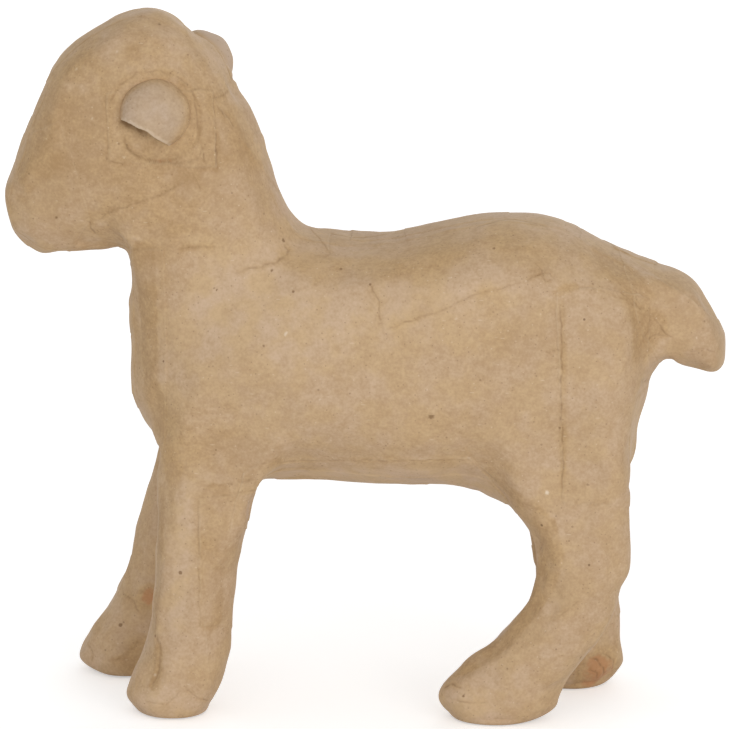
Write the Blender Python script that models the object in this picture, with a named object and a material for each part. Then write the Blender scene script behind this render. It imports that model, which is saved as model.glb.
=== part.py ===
"""Papier-mache kid goat blank, about 200 mm long, for painting or decoupage.

The figure is a hollow moulded shell in two halves that meet on the middle plane, two card
ears, and a facing of glued kraft sheets and strips. All of it is cut from one form: rings
lofted from nose to tail, with four legs lofted out of the trunk, smoothed by subdivision.

Sizes are in millimetres. The goat faces -X and +Z is up, so its left side is -Y. The origin
is on the floor, under the middle of the figure.
"""

import math
from typing import NamedTuple

import bmesh
import bpy
import numpy as np
from mathutils import Matrix, Vector

MM = 0.001

# Thicknesses and clearances
FACING = 0.5
SHELL_WALL = 2.0
GLUE_GAP = 0.3
SHEET_GAP = 0.3
SHELL_GAP = 0.3

# Where the shell is hollow; its legs and tail are rolled solid
HOLLOW_FROM = "muzzle"
HOLLOW_TO = "buttock"

# The trunk's sections: degrees from the back round to the belly, and the power of their curve
SECTION_ANGLES = (0, 32, 62, 90, 118, 160, 180)
SQUARENESS = 2.5

# The legs' sections
LEG_SIDES = 8
FRONT_SPREAD = 19.0
REAR_SPREAD = 17.5
SOLE_SHARE = 0.6

# The ears: round hoods with their lower front cut off
EAR_LENGTH = 19.0
EAR_WIDTH = 19.0
EAR_STAND = 10.5
EAR_WALL = 1.2
EAR_MOUTH = 6.4
EAR_TURN = 33.0
EAR_FACETS = 16

# How finely the form is built
SUBDIVISIONS = 1
SETTLING_ROUNDS = 8
FOLD_LIMIT = 0.1
SHARP_ANGLE = 40.0


class Ring(NamedTuple):
    """A section of head, neck, trunk or tail: its ends in side view (x, z), and its half width."""

    name: str
    back: tuple[float, float]
    belly: tuple[float, float]
    half_width: float


class LegRing(NamedTuple):
    """A section of a leg: its middle (x, z) and half length in side view, its half width, and
    how many degrees its front is raised."""

    x: float
    z: float
    half_length: float
    half_width: float
    raised: float = 0.0


class Leg(NamedTuple):
    """A leg: the ring its root starts at, its side (-1 left, 1 right), its spread and its rings."""

    name: str
    root: str
    side: int
    spread: float
    rings: tuple[LegRing, ...]


class Ear(NamedTuple):
    """An ear: its side (-1 left, 1 right), its middle in side view (x, z), and how far that
    lies inside the widest part of the head."""

    name: str
    side: int
    x: float
    z: float
    inside: float


class Sheet(NamedTuple):
    """A facing sheet: from one ring to another, and from one line of the section to another."""

    name: str
    first: str
    last: str
    upper: int
    lower: int


class Paper(NamedTuple):
    """A matt paper: its colour and its roughness."""

    colour: tuple[float, float, float, float]
    roughness: float


RINGS = (
    Ring("nose", (-98.9, 147.5), (-95.8, 131.3), 8.5),
    Ring("muzzle", (-94.0, 157.8), (-88.5, 126.6), 13.5),
    Ring("cheek", (-89.6, 171.3), (-76.0, 128.2), 17.0),
    Ring("brow", (-81.3, 184.7), (-67.0, 128.3), 19.5),
    Ring("crown", (-62.5, 195.8), (-63.8, 121.0), 21.0),
    Ring("poll", (-44.0, 188.4), (-64.0, 113.0), 20.5),
    Ring("nape", (-31.8, 170.0), (-64.3, 105.0), 20.5),
    Ring("neck", (-25.2, 151.5), (-64.5, 97.0), 21.5),
    Ring("shoulder_front", (-18.0, 136.3), (-64.0, 87.0), 24.5),
    Ring("shoulder_point", (-8.5, 133.2), (-59.5, 77.0), 28.0),
    Ring("shoulder_middle", (-1.0, 132.7), (-50.0, 69.0), 29.5),
    Ring("shoulder_back", (6.0, 133.2), (-39.0, 64.8), 30.0),
    Ring("girth", (14.0, 134.4), (-27.5, 64.0), 30.0),
    Ring("barrel", (25.0, 137.0), (-3.0, 64.2), 30.0),
    Ring("loin", (36.0, 139.2), (20.0, 62.7), 29.5),
    Ring("thigh_front", (47.0, 139.3), (37.0, 60.3), 29.0),
    Ring("thigh_middle", (57.0, 137.2), (49.0, 55.0), 28.5),
    Ring("thigh_back", (65.0, 133.2), (60.0, 57.5), 27.5),
    Ring("buttock", (73.0, 129.3), (73.0, 66.0), 25.0),
    Ring("dock", (81.0, 126.3), (80.0, 95.5), 15.0),
    Ring("tail", (93.5, 120.6), (88.5, 98.3), 11.5),
    Ring("tail_end", (99.7, 107.8), (97.5, 97.0), 8.0),
)

FRONT_LEFT = (
    LegRing(-42.8, 52.0, 13.2, 10.0),
    LegRing(-45.3, 40.0, 11.2, 10.3),
    LegRing(-46.6, 25.0, 11.4, 10.5),
    LegRing(-49.5, 12.0, 12.7, 11.0),
    LegRing(-51.6, 5.0, 12.8, 11.0),
    LegRing(-51.6, 0.0, 10.2, 9.0),
)
FRONT_RIGHT = (
    LegRing(-49.8, 54.0, 12.3, 10.3),
    LegRing(-55.4, 40.0, 11.2, 10.3),
    LegRing(-59.3, 25.0, 11.0, 10.5, 10),
    LegRing(-65.9, 12.0, 12.1, 11.0, 12),
    LegRing(-69.2, 5.0, 13.9, 11.0),
    LegRing(-67.0, 0.0, 10.8, 9.0),
)
REAR_LEFT = (
    LegRing(60.9, 51.0, 14.1, 10.2),
    LegRing(61.2, 38.0, 12.6, 10.3, 8),
    LegRing(54.5, 25.0, 11.6, 10.5, 25),
    LegRing(43.5, 12.5, 13.5, 11.0, 20),
    LegRing(39.0, 5.5, 16.0, 11.3, 5),
    LegRing(38.0, 0.0, 12.5, 9.3),
)
REAR_RIGHT = (
    LegRing(57.8, 52.0, 14.2, 10.5),
    LegRing(58.6, 38.0, 12.6, 10.3),
    LegRing(58.6, 25.0, 11.7, 10.5),
    LegRing(58.6, 12.0, 12.8, 11.0),
    LegRing(58.4, 5.0, 13.5, 11.0),
    LegRing(57.5, 0.0, 10.7, 9.0),
)
LEGS = (
    Leg("front_left", "shoulder_point", -1, FRONT_SPREAD, FRONT_LEFT),
    Leg("front_right", "shoulder_point", 1, FRONT_SPREAD, FRONT_RIGHT),
    Leg("rear_left", "thigh_front", -1, REAR_SPREAD, REAR_LEFT),
    Leg("rear_right", "thigh_front", 1, REAR_SPREAD, REAR_RIGHT),
)

EARS = (
    Ear("ear_left", -1, -56.0, 172.0, 3.5),
    Ear("ear_right", 1, -47.1, 176.5, 4.5),
)

# Lines along the trunk, counted from the back round to the belly
BACK_LINE = 0
LOIN_LINE = 1
CHEST_LINE = 4
BELLY_LINE = 5
UNDER_LINE = 6
HALF_SIDES = len(SECTION_ANGLES) - 1
RING_SIDES = 2 * HALF_SIDES

# A leg's opening in the trunk, the rings its foot sheet covers, and the rings ears stand on
ROOT_SPANS = LEG_SIDES // 2 - 1
FOOT_RINGS = 3
HEAD_RINGS = ("crown", "poll")

SHEETS = (
    Sheet("muzzle_cap", "nose", "muzzle", BACK_LINE, UNDER_LINE),
    Sheet("crown_strip", "muzzle", "poll", BACK_LINE, LOIN_LINE),
    Sheet("face_{side}", "muzzle", "brow", LOIN_LINE, CHEST_LINE),
    Sheet("ear_patch_{side}", "brow", "poll", LOIN_LINE, CHEST_LINE),
    Sheet("throat_strip", "muzzle", "poll", CHEST_LINE, UNDER_LINE),
    Sheet("nape_strip", "poll", "shoulder_front", BACK_LINE, LOIN_LINE),
    Sheet("neck_{side}", "poll", "shoulder_front", LOIN_LINE, CHEST_LINE),
    Sheet("chest_strip", "poll", "shoulder_front", CHEST_LINE, UNDER_LINE),
    Sheet("back_strip", "shoulder_front", "thigh_middle", BACK_LINE, LOIN_LINE),
    Sheet("belly_strip", "girth", "thigh_front", CHEST_LINE, UNDER_LINE),
    Sheet("belly_strip", "shoulder_front", "buttock", BELLY_LINE, UNDER_LINE),
    Sheet("shoulder_{side}", "shoulder_front", "girth", LOIN_LINE, BELLY_LINE),
    Sheet("flank_{side}", "girth", "thigh_middle", LOIN_LINE, BELLY_LINE),
    Sheet("haunch_{side}", "thigh_middle", "buttock", LOIN_LINE, BELLY_LINE),
    Sheet("rump_strip", "thigh_middle", "dock", BACK_LINE, LOIN_LINE + 1),
    Sheet("seat", "buttock", "dock", LOIN_LINE + 1, UNDER_LINE),
    Sheet("tail_wrap", "dock", "tail_end", BACK_LINE, UNDER_LINE),
)

KRAFT = Paper((0.48, 0.335, 0.205, 1.0), 0.85)
MOULDED = Paper((0.40, 0.33, 0.26, 1.0), 0.9)


def squared(value):
    """A sine or cosine drawn out towards a rounded square."""
    return math.copysign(abs(value) ** (2.0 / SQUARENESS), value)


def trunk_ring(bm, ring):
    """A section's vertices: number 0 on the back, then down the left side to the belly."""
    back = Vector((ring.back[0], 0.0, ring.back[1]))
    belly = Vector((ring.belly[0], 0.0, ring.belly[1]))
    middle = (back + belly) / 2.0
    rise = (back - belly) / 2.0
    verts = bmesh.ops.create_circle(bm, segments=RING_SIDES, radius=ring.half_width)["verts"]
    for k, vert in enumerate(verts):
        angle = math.radians(SECTION_ANGLES[min(k, RING_SIDES - k)])
        side = -1.0 if k <= HALF_SIDES else 1.0
        across = side * ring.half_width * squared(math.sin(angle)) if k % HALF_SIDES else 0.0
        vert.co = middle + rise * squared(math.cos(angle)) + Vector((0.0, across, 0.0))
    return verts


def leg_ring(bm, leg, ring, share=1.0):
    """A leg section's vertices: number 0 at the outer front, then backwards."""
    centre = Vector((ring.x, leg.side * leg.spread, ring.z))
    raised = math.radians(ring.raised)
    forward = Vector((-math.cos(raised), 0.0, math.sin(raised))) * ring.half_length * share
    outward = Vector((0.0, leg.side * ring.half_width * share, 0.0))
    verts = bmesh.ops.create_circle(bm, segments=LEG_SIDES, radius=ring.half_width)["verts"]
    for k, vert in enumerate(verts):
        angle = 2.0 * math.pi * (k + 0.5) / LEG_SIDES
        vert.co = centre + forward * math.cos(angle) + outward * math.sin(angle)
    return verts


def loft(bm, first, second):
    """Quads between two rings of as many vertices."""
    following = zip(first[1:] + first[:1], second[1:] + second[:1])
    return [bm.faces.new((a, b, d, c)) for a, c, (b, d) in zip(first, second, following)]


def loft_leg(bm, leg, rings, sheet_ids):
    """Opens the trunk at a leg's root and lofts the leg from there down to its flat sole."""
    layer = bm.faces.layers.int["sheet"]
    start = [r.name for r in RINGS].index(leg.root)
    outer, inner = (CHEST_LINE, BELLY_LINE) if leg.side < 0 else (-CHEST_LINE, -BELLY_LINE)
    span = range(start, start + ROOT_SPANS + 1)
    last = [rings[i][outer] for i in span] + [rings[i][inner] for i in reversed(span)]
    covered = [f for f in bm.faces if all(v in last for v in f.verts)]
    bmesh.ops.delete(bm, geom=covered, context="FACES")
    for depth, ring in enumerate(leg.rings):
        verts = leg_ring(bm, leg, ring)
        below = depth >= len(leg.rings) - FOOT_RINGS
        for face in loft(bm, last, verts):
            face[layer] = sheet_ids[f"{leg.name}_foot" if below else f"{leg.name}_wrap"]
        last = verts
    sole = leg_ring(bm, leg, leg.rings[-1], SOLE_SHARE)
    faces = loft(bm, last, sole)
    for k in range(ROOT_SPANS):
        faces.append(bm.faces.new((sole[k], sole[k + 1], sole[-2 - k], sole[-1 - k])))
    for face in faces:
        face[layer] = sheet_ids[f"{leg.name}_foot"]


def covering(interval, strip):
    """The name of the sheet on one face of the trunk."""
    names = [r.name for r in RINGS]
    line = strip if strip < HALF_SIDES else RING_SIDES - 1 - strip
    side = "left" if strip < HALF_SIDES else "right"
    for sheet in SHEETS:
        along = names.index(sheet.first) <= interval < names.index(sheet.last)
        if along and sheet.upper <= line < sheet.lower:
            return sheet.name.format(side=side)
    raise ValueError(f"no sheet covers interval {interval}, strip {strip}")


def sheet_names():
    """Every facing sheet's name, in order."""
    trunk = [s.name.format(side=side) for s in SHEETS for side in ("left", "right")]
    legs = [f"{leg.name}_{part}" for leg in LEGS for part in ("wrap", "foot")]
    return list(dict.fromkeys(trunk + legs))


def smooth_place(vert):
    """Where the smooth form passes for a vertex of its cage: Catmull and Clark's limit."""
    count = len(vert.link_edges)
    ends = sum((e.other_vert(vert).co for e in vert.link_edges), Vector())
    middles = sum((f.calc_center_median() for f in vert.link_faces), Vector())
    edge_mean = (vert.co + ends / count) / 2.0
    moved = (middles / count + 2.0 * edge_mean + (count - 3) * vert.co) / count
    total = count * count * moved + count * vert.co + ends + 3.0 * middles
    return total / (count * (count + 5))


def settle(bm):
    """Swells the cage until the smooth form passes through the sections as they are given.

    What lies on the floor stays flat on it."""
    bm.verts.ensure_lookup_table()
    wanted = [v.co.copy() for v in bm.verts]
    for _ in range(SETTLING_ROUNDS):
        places = [smooth_place(v) for v in bm.verts]
        for vert, target, place in zip(bm.verts, wanted, places):
            vert.co += target - place
            if target.z == 0.0:
                vert.co.z = 0.0


def cage():
    """The figure's coarse form, each face with the number of the sheet that covers it."""
    bm = bmesh.new()
    layer = bm.faces.layers.int.new("sheet")
    ids = {name: i for i, name in enumerate(sheet_names())}
    rings = [trunk_ring(bm, r) for r in RINGS]
    for interval, (first, second) in enumerate(zip(rings, rings[1:])):
        for strip, face in enumerate(loft(bm, first, second)):
            face[layer] = ids[covering(interval, strip)]
    bm.faces.new(rings[0])[layer] = ids[covering(0, 0)]
    bm.faces.new(rings[-1][::-1])[layer] = ids[covering(len(RINGS) - 2, 0)]
    for leg in LEGS:
        loft_leg(bm, leg, rings, ids)
    bmesh.ops.recalc_face_normals(bm, faces=bm.faces)
    settle(bm)
    return bm


def smoothed(coarse):
    """The form: the cage subdivided once, in triangles, with the way inward at each vertex."""
    obj = new_object("form", coarse)
    subdivision = obj.modifiers.new("Smooth", "SUBSURF")
    subdivision.levels = subdivision.render_levels = SUBDIVISIONS
    form = evaluated(obj)
    bmesh.ops.triangulate(form, faces=form.faces)
    layer = form.verts.layers.float_vector.new("inward")
    form.normal_update()
    for vert in form.verts:
        vert[layer] = inward(vert)
    return form


def inward(vert):
    """The move that takes all the faces round a vertex in by one, as nearly as one move can.

    A fold gets its mitre, and FOLD_LIMIT is how slight a fold still counts as flat."""
    normals = np.array([f.normal for f in vert.link_faces])
    return Vector(np.linalg.lstsq(normals, -np.ones(len(normals)), rcond=FOLD_LIMIT)[0])


def new_object(name, bm):
    """An object with a bmesh's shape, in the scene."""
    mesh = bpy.data.meshes.new(name)
    bm.to_mesh(mesh)
    obj = bpy.data.objects.new(name, mesh)
    bpy.context.scene.collection.objects.link(obj)
    return obj


def evaluated(obj):
    """The bmesh of an object with its modifiers applied, which takes the object's place."""
    bm = bmesh.new()
    bm.from_object(obj, bpy.context.evaluated_depsgraph_get())
    bpy.data.meshes.remove(obj.data)
    return bm


def finished(name, bm, paper):
    """A sub-part in metres, shaded smooth, with its own material."""
    bmesh.ops.recalc_face_normals(bm, faces=bm.faces)
    bmesh.ops.transform(bm, matrix=Matrix.Scale(MM, 4), verts=bm.verts)
    obj = new_object(name, bm)
    bm.free()
    obj.data.shade_smooth()
    obj.data.set_sharp_from_angle(angle=math.radians(SHARP_ANGLE))
    material = bpy.data.materials.new(name)
    material.use_nodes = True
    shader = material.node_tree.nodes["Principled BSDF"]
    shader.inputs["Base Color"].default_value = paper.colour
    shader.inputs["Roughness"].default_value = paper.roughness
    obj.data.materials.append(material)
    return obj


def sunk(form, depth):
    """A copy of the form, moved in by a depth all over."""
    bm = form.copy()
    layer = bm.verts.layers.float_vector["inward"]
    for vert in bm.verts:
        vert.co += vert[layer] * depth
    return bm


def facing_sheet(form, number, name):
    """One glued sheet: its part of the form, kept off its neighbours and thickened inward."""
    bm = form.copy()
    number_layer = bm.faces.layers.int["sheet"]
    way_in = bm.verts.layers.float_vector["inward"]
    others = [f for f in bm.faces if f[number_layer] != number]
    bmesh.ops.delete(bm, geom=others, context="FACES")
    rim = bmesh.ops.inset_region(
        bm, faces=bm.faces, thickness=SHEET_GAP / 2.0, use_boundary=True, use_even_offset=True
    )["faces"]
    bmesh.ops.delete(bm, geom=rim, context="FACES")
    for vert in bm.verts:
        vert.co += vert[way_in] * FACING
    raised = bmesh.ops.extrude_face_region(bm, geom=bm.faces[:], use_keep_orig=True)["geom"]
    for item in raised:
        if isinstance(item, bmesh.types.BMVert):
            item.co -= item[way_in] * FACING
    return finished(name, bm, KRAFT)


def cavity(coarse):
    """The shell's hollow, facing inwards: head, neck and trunk moved in by the wall."""
    names = [r.name for r in RINGS]
    coarse.verts.ensure_lookup_table()
    bm = bmesh.new()
    rings = []
    for i in range(names.index(HOLLOW_FROM), names.index(HOLLOW_TO) + 1):
        verts = coarse.verts[i * RING_SIDES:(i + 1) * RING_SIDES]
        rings.append([bm.verts.new(smooth_place(v)) for v in verts])
    for first, second in zip(rings, rings[1:]):
        loft(bm, first, second)
    bm.faces.new(rings[0])
    bm.faces.new(rings[-1][::-1])
    bmesh.ops.recalc_face_normals(bm, faces=bm.faces)
    depth = FACING + GLUE_GAP + SHELL_WALL
    moves = [inward(v) * depth for v in bm.verts]
    for vert, move in zip(bm.verts, moves):
        vert.co += move
    bmesh.ops.reverse_faces(bm, faces=bm.faces)
    return bm


def shell_half(form, coarse, side, name):
    """One half of the moulded shell, hollow and open on the middle plane."""
    bm = sunk(form, FACING + GLUE_GAP)
    hollow = cavity(coarse)
    mesh = bpy.data.meshes.new("hollow")
    hollow.to_mesh(mesh)
    bm.from_mesh(mesh)
    bpy.data.meshes.remove(mesh)
    plane = Vector((0.0, side * SHELL_GAP / 2.0, 0.0))
    cut = bmesh.ops.bisect_plane(
        bm, geom=bm.verts[:] + bm.edges[:] + bm.faces[:],
        plane_co=plane, plane_no=(0.0, -side, 0.0), clear_outer=True,
    )["geom_cut"]
    edges = [e for e in cut if isinstance(e, bmesh.types.BMEdge)]
    bmesh.ops.triangle_fill(bm, edges=edges, use_beauty=True)
    return finished(name, bm, MOULDED)


def hood(form, ear):
    """A card ear that stands off the head, open at its lower front, with its foot cut to fit."""
    widest = max(r.half_width for r in RINGS if r.name in HEAD_RINGS)
    centre = (ear.x, ear.side * (widest - ear.inside), ear.z)
    bm = bmesh.new()
    bmesh.ops.create_uvsphere(bm, u_segments=EAR_FACETS, v_segments=EAR_FACETS // 2, radius=1.0)
    mouth = -2.0 * EAR_MOUTH / EAR_WIDTH
    bmesh.ops.bisect_plane(
        bm, geom=bm.verts[:] + bm.edges[:] + bm.faces[:],
        plane_co=(0.0, 0.0, mouth), plane_no=(0.0, 0.0, -1.0), clear_outer=True,
    )
    place = Matrix.Translation(centre) @ Matrix.Rotation(math.radians(EAR_TURN), 4, "Y")
    half_sizes = Matrix.Diagonal((EAR_LENGTH / 2.0, EAR_STAND, EAR_WIDTH / 2.0, 1.0))
    bmesh.ops.transform(bm, matrix=place @ half_sizes, verts=bm.verts)
    bmesh.ops.recalc_face_normals(bm, faces=bm.faces)
    bmesh.ops.solidify(bm, geom=bm.faces[:], thickness=EAR_WALL)
    bmesh.ops.recalc_face_normals(bm, faces=bm.faces)
    whole = new_object("whole", bm)
    head = new_object("head", sunk(form, -GLUE_GAP))
    cut = whole.modifiers.new("Foot", "BOOLEAN")
    cut.operation = "DIFFERENCE"
    cut.object = head
    shape = evaluated(whole)
    bpy.data.meshes.remove(head.data)
    return finished(ear.name, shape, KRAFT)


def main():
    """Builds the goat blank."""
    for obj in list(bpy.data.objects):
        bpy.data.objects.remove(obj, do_unlink=True)
    coarse = cage()
    form = smoothed(coarse)
    places = [v.co.x for v in form.verts]
    off_centre = Vector(((min(places) + max(places)) / 2.0, 0.0, 0.0))
    for bm in (coarse, form):
        bmesh.ops.translate(bm, vec=-off_centre, verts=bm.verts)
    for number, name in enumerate(sheet_names()):
        facing_sheet(form, number, name)
    shell_half(form, coarse, -1, "shell_left")
    shell_half(form, coarse, 1, "shell_right")
    for ear in EARS:
        hood(form, ear)


main()
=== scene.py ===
"""Scene of a papier-mache kid goat blank: kraft paper pasted in sheets over a moulded shell.

Sizes are in millimetres until a piece is finished, when they become metres. The goat faces -X,
its left side is -Y and +Z is up. Details on its left side are placed by the photograph's pixels,
and all others by millimetres as seen from the side that they are on.
"""

import logging
import math
import random
from collections.abc import Iterator, Sequence
from dataclasses import dataclass
from enum import Enum

import bmesh
import bpy
import numpy as np
from mathutils import Matrix, Vector, noise
from mathutils.bvhtree import BVHTree
from mathutils.kdtree import KDTree


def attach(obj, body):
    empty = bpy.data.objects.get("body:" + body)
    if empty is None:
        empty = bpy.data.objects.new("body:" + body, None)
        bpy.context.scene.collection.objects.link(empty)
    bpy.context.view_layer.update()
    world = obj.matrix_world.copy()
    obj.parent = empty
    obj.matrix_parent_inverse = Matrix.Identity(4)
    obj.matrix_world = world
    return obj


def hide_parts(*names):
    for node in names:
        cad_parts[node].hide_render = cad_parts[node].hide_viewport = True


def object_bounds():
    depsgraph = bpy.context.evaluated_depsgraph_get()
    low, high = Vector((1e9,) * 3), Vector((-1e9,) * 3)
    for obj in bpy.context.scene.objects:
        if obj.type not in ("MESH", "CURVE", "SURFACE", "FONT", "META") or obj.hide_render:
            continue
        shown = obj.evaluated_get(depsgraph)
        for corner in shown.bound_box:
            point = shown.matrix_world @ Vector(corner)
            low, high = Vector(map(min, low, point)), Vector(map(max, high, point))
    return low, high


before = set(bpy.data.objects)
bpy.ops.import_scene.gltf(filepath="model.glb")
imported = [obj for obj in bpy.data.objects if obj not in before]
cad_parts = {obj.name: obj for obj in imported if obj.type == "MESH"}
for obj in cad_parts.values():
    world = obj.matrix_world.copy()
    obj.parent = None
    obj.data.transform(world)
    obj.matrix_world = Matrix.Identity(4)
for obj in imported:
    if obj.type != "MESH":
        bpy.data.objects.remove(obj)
CAD_BOX = [list(corner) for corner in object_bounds()]

LOG = logging.getLogger("goat")
MM = 0.001
BODY = "root"
PHOTO_SIZE = 729
PUSH_SHIFTS = (0.0, 31.7, 63.1)
FAR = 99.0
OUTSIDE = 400.0
HALF_SIZE = 110
Colour = tuple[float, float, float]
Point = tuple[float, float]


# The camera and the sides of the goat


@dataclass(frozen=True)
class Camera:
    """The photograph's camera.

    Attributes:
        azimuth: Degrees round towards the tail.
        elevation: Degrees above the horizon.
        distance: From the lens to the target.
        target: The point at the middle of the picture.
        focal: The focal length in pixels of the photograph.
        sensor: The sensor's width.
    """

    azimuth: float = 5.0
    elevation: float = 15.0
    distance: float = 2000.0
    target: tuple[float, float, float] = (-0.13, 0.0, 96.1)
    focal: float = 7207.0
    sensor: float = 36.0

    def axes(self) -> tuple[Vector, Vector, Vector]:
        """The camera's right, up and back."""
        a, e = math.radians(self.azimuth), math.radians(self.elevation)
        back = Vector((math.sin(a) * math.cos(e), -math.cos(a) * math.cos(e), math.sin(e)))
        right = Vector((math.cos(a), math.sin(a), 0.0))
        return right, back.cross(right), back

    def place(self) -> Vector:
        """Where the lens is."""
        return Vector(self.target) + self.axes()[2] * self.distance

    def sight(self, across: float, down: float) -> Vector:
        """The direction through a pixel of the photograph.

        Args:
            across: Pixels from the left.
            down: Pixels from the top.

        Returns:
            The direction, of about unit length.
        """
        right, up, back = self.axes()
        middle = PHOTO_SIZE / 2.0
        return (right * (across - middle) + up * (middle - down)) / self.focal - back

    def build(self) -> bpy.types.Object:
        """Makes the scene's camera."""
        data = bpy.data.cameras.new("camera")
        data.sensor_width = self.sensor
        data.lens = self.focal / PHOTO_SIZE * self.sensor
        data.clip_end = 20.0
        obj = bpy.data.objects.new("camera", data)
        obj.location = self.place() * MM
        obj.rotation_mode = "QUATERNION"
        obj.rotation_quaternion = self.axes()[2].to_track_quat("Z", "Y")
        bpy.context.scene.collection.objects.link(obj)
        bpy.context.scene.camera = obj
        return obj


CAMERA = Camera()


class View(Enum):
    """Where a detail is seen from: the axis it looks along, and its sign towards the viewer."""

    PHOTO = (1, -1)
    RIGHT = (1, 1)
    TOP = (2, 1)
    UNDER = (2, -1)
    FRONT = (0, -1)
    REAR = (0, 1)

    def line(self, point: Point) -> tuple[Vector, Vector]:
        """The line of sight to a point.

        Args:
            point: Pixels in the photograph, or from elsewhere the two coordinates seen.

        Returns:
            A start outside the goat, and the direction.
        """
        if self is View.PHOTO:
            return CAMERA.place(), CAMERA.sight(*point)
        axis, sign = self.value
        start = [*point]
        start.insert(axis, sign * OUTSIDE)
        direction = Vector((0.0, 0.0, 0.0))
        direction[axis] = -sign
        return Vector(start), direction

    def meet(self, tree: BVHTree, point: Point) -> Vector:
        """Where the line of sight to a point meets the form, or passes it most closely."""
        start, direction = self.line(point)
        hit = tree.ray_cast(start, direction)[0]
        if hit is not None:
            return hit
        target = Vector(CAMERA.target)
        middle = start + direction * (target - start).dot(direction) / direction.length_squared
        steps = range(-HALF_SIZE, HALF_SIZE + 1, 2)
        tries = [tree.find_nearest(middle + direction * step) for step in steps]
        return min(tries, key=lambda found: found[3])[0]

    @property
    def scale(self) -> float:
        """How many of the view's units make a millimetre."""
        return CAMERA.focal / CAMERA.distance if self is View.PHOTO else 1.0


# The form


@dataclass(frozen=True)
class Ring:
    """A section of head, neck, trunk or tail: its ends in side view (x, z), and its half width."""

    name: str
    back: Point
    belly: Point
    half_width: float


@dataclass(frozen=True)
class LegRing:
    """A section of a leg: its middle and half length in side view, half width, and front's rise."""

    x: float
    z: float
    half_length: float
    half_width: float
    raised: float = 0.0


@dataclass(frozen=True)
class Leg:
    """A leg: the ring its root starts at, its side (-1 left, 1 right), its spread and its rings."""

    name: str
    root: str
    side: int
    spread: float
    rings: tuple[LegRing, ...]


@dataclass(frozen=True)
class Patch:
    """A part of the skin: from one ring to another, and from one line of the section to another."""

    name: str
    first: str
    last: str
    upper: int
    lower: int


RINGS = (
    Ring("nose", (-98.9, 147.5), (-95.8, 131.3), 8.5),
    Ring("muzzle", (-94.0, 157.8), (-88.5, 126.6), 13.5),
    Ring("cheek", (-89.6, 171.3), (-76.0, 128.2), 17.0),
    Ring("brow", (-81.3, 184.7), (-67.0, 128.3), 19.5),
    Ring("crown", (-62.5, 195.8), (-63.8, 121.0), 21.0),
    Ring("poll", (-44.0, 188.4), (-64.0, 113.0), 20.5),
    Ring("nape", (-31.8, 170.0), (-64.3, 105.0), 20.5),
    Ring("neck", (-25.2, 151.5), (-64.5, 97.0), 21.5),
    Ring("shoulder_front", (-18.0, 136.3), (-64.0, 87.0), 24.5),
    Ring("shoulder_point", (-8.5, 133.2), (-59.5, 77.0), 28.0),
    Ring("shoulder_middle", (-1.0, 132.7), (-50.0, 69.0), 29.5),
    Ring("shoulder_back", (6.0, 133.2), (-39.0, 64.8), 30.0),
    Ring("girth", (14.0, 134.4), (-27.5, 64.0), 30.0),
    Ring("barrel", (25.0, 137.0), (-3.0, 64.2), 30.0),
    Ring("loin", (36.0, 139.2), (20.0, 62.7), 29.5),
    Ring("thigh_front", (47.0, 139.3), (37.0, 60.3), 29.0),
    Ring("thigh_middle", (57.0, 137.2), (49.0, 55.0), 28.5),
    Ring("thigh_back", (65.0, 133.2), (60.0, 57.5), 27.5),
    Ring("buttock", (73.0, 129.3), (73.0, 66.0), 25.0),
    Ring("dock", (81.0, 126.3), (80.0, 95.5), 15.0),
    Ring("tail", (93.5, 120.6), (88.5, 98.3), 11.5),
    Ring("tail_end", (99.7, 107.8), (97.5, 97.0), 8.0),
)

FRONT_LEFT = (
    LegRing(-42.8, 52.0, 13.2, 10.0),
    LegRing(-45.3, 40.0, 11.2, 10.3),
    LegRing(-46.6, 25.0, 11.4, 10.5),
    LegRing(-49.5, 12.0, 12.7, 11.0),
    LegRing(-51.6, 5.0, 12.8, 11.0),
    LegRing(-51.6, 0.0, 10.2, 9.0),
)
FRONT_RIGHT = (
    LegRing(-49.8, 54.0, 12.3, 10.3),
    LegRing(-55.4, 40.0, 11.2, 10.3),
    LegRing(-59.3, 25.0, 11.0, 10.5, 10),
    LegRing(-65.9, 12.0, 12.1, 11.0, 12),
    LegRing(-69.2, 5.0, 13.9, 11.0),
    LegRing(-67.0, 0.0, 10.8, 9.0),
)
REAR_LEFT = (
    LegRing(60.9, 51.0, 14.1, 10.2),
    LegRing(61.2, 38.0, 12.6, 10.3, 8),
    LegRing(54.5, 25.0, 11.6, 10.5, 25),
    LegRing(43.5, 12.5, 13.5, 11.0, 20),
    LegRing(39.0, 5.5, 16.0, 11.3, 5),
    LegRing(38.0, 0.0, 12.5, 9.3),
)
REAR_RIGHT = (
    LegRing(57.8, 52.0, 14.2, 10.5),
    LegRing(58.6, 38.0, 12.6, 10.3),
    LegRing(58.6, 25.0, 11.7, 10.5),
    LegRing(58.6, 12.0, 12.8, 11.0),
    LegRing(58.4, 5.0, 13.5, 11.0),
    LegRing(57.5, 0.0, 10.7, 9.0),
)
FRONT_SPREAD = 19.0
REAR_SPREAD = 17.5
LEGS = (
    Leg("front_left", "shoulder_point", -1, FRONT_SPREAD, FRONT_LEFT),
    Leg("front_right", "shoulder_point", 1, FRONT_SPREAD, FRONT_RIGHT),
    Leg("rear_left", "thigh_front", -1, REAR_SPREAD, REAR_LEFT),
    Leg("rear_right", "thigh_front", 1, REAR_SPREAD, REAR_RIGHT),
)

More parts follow.
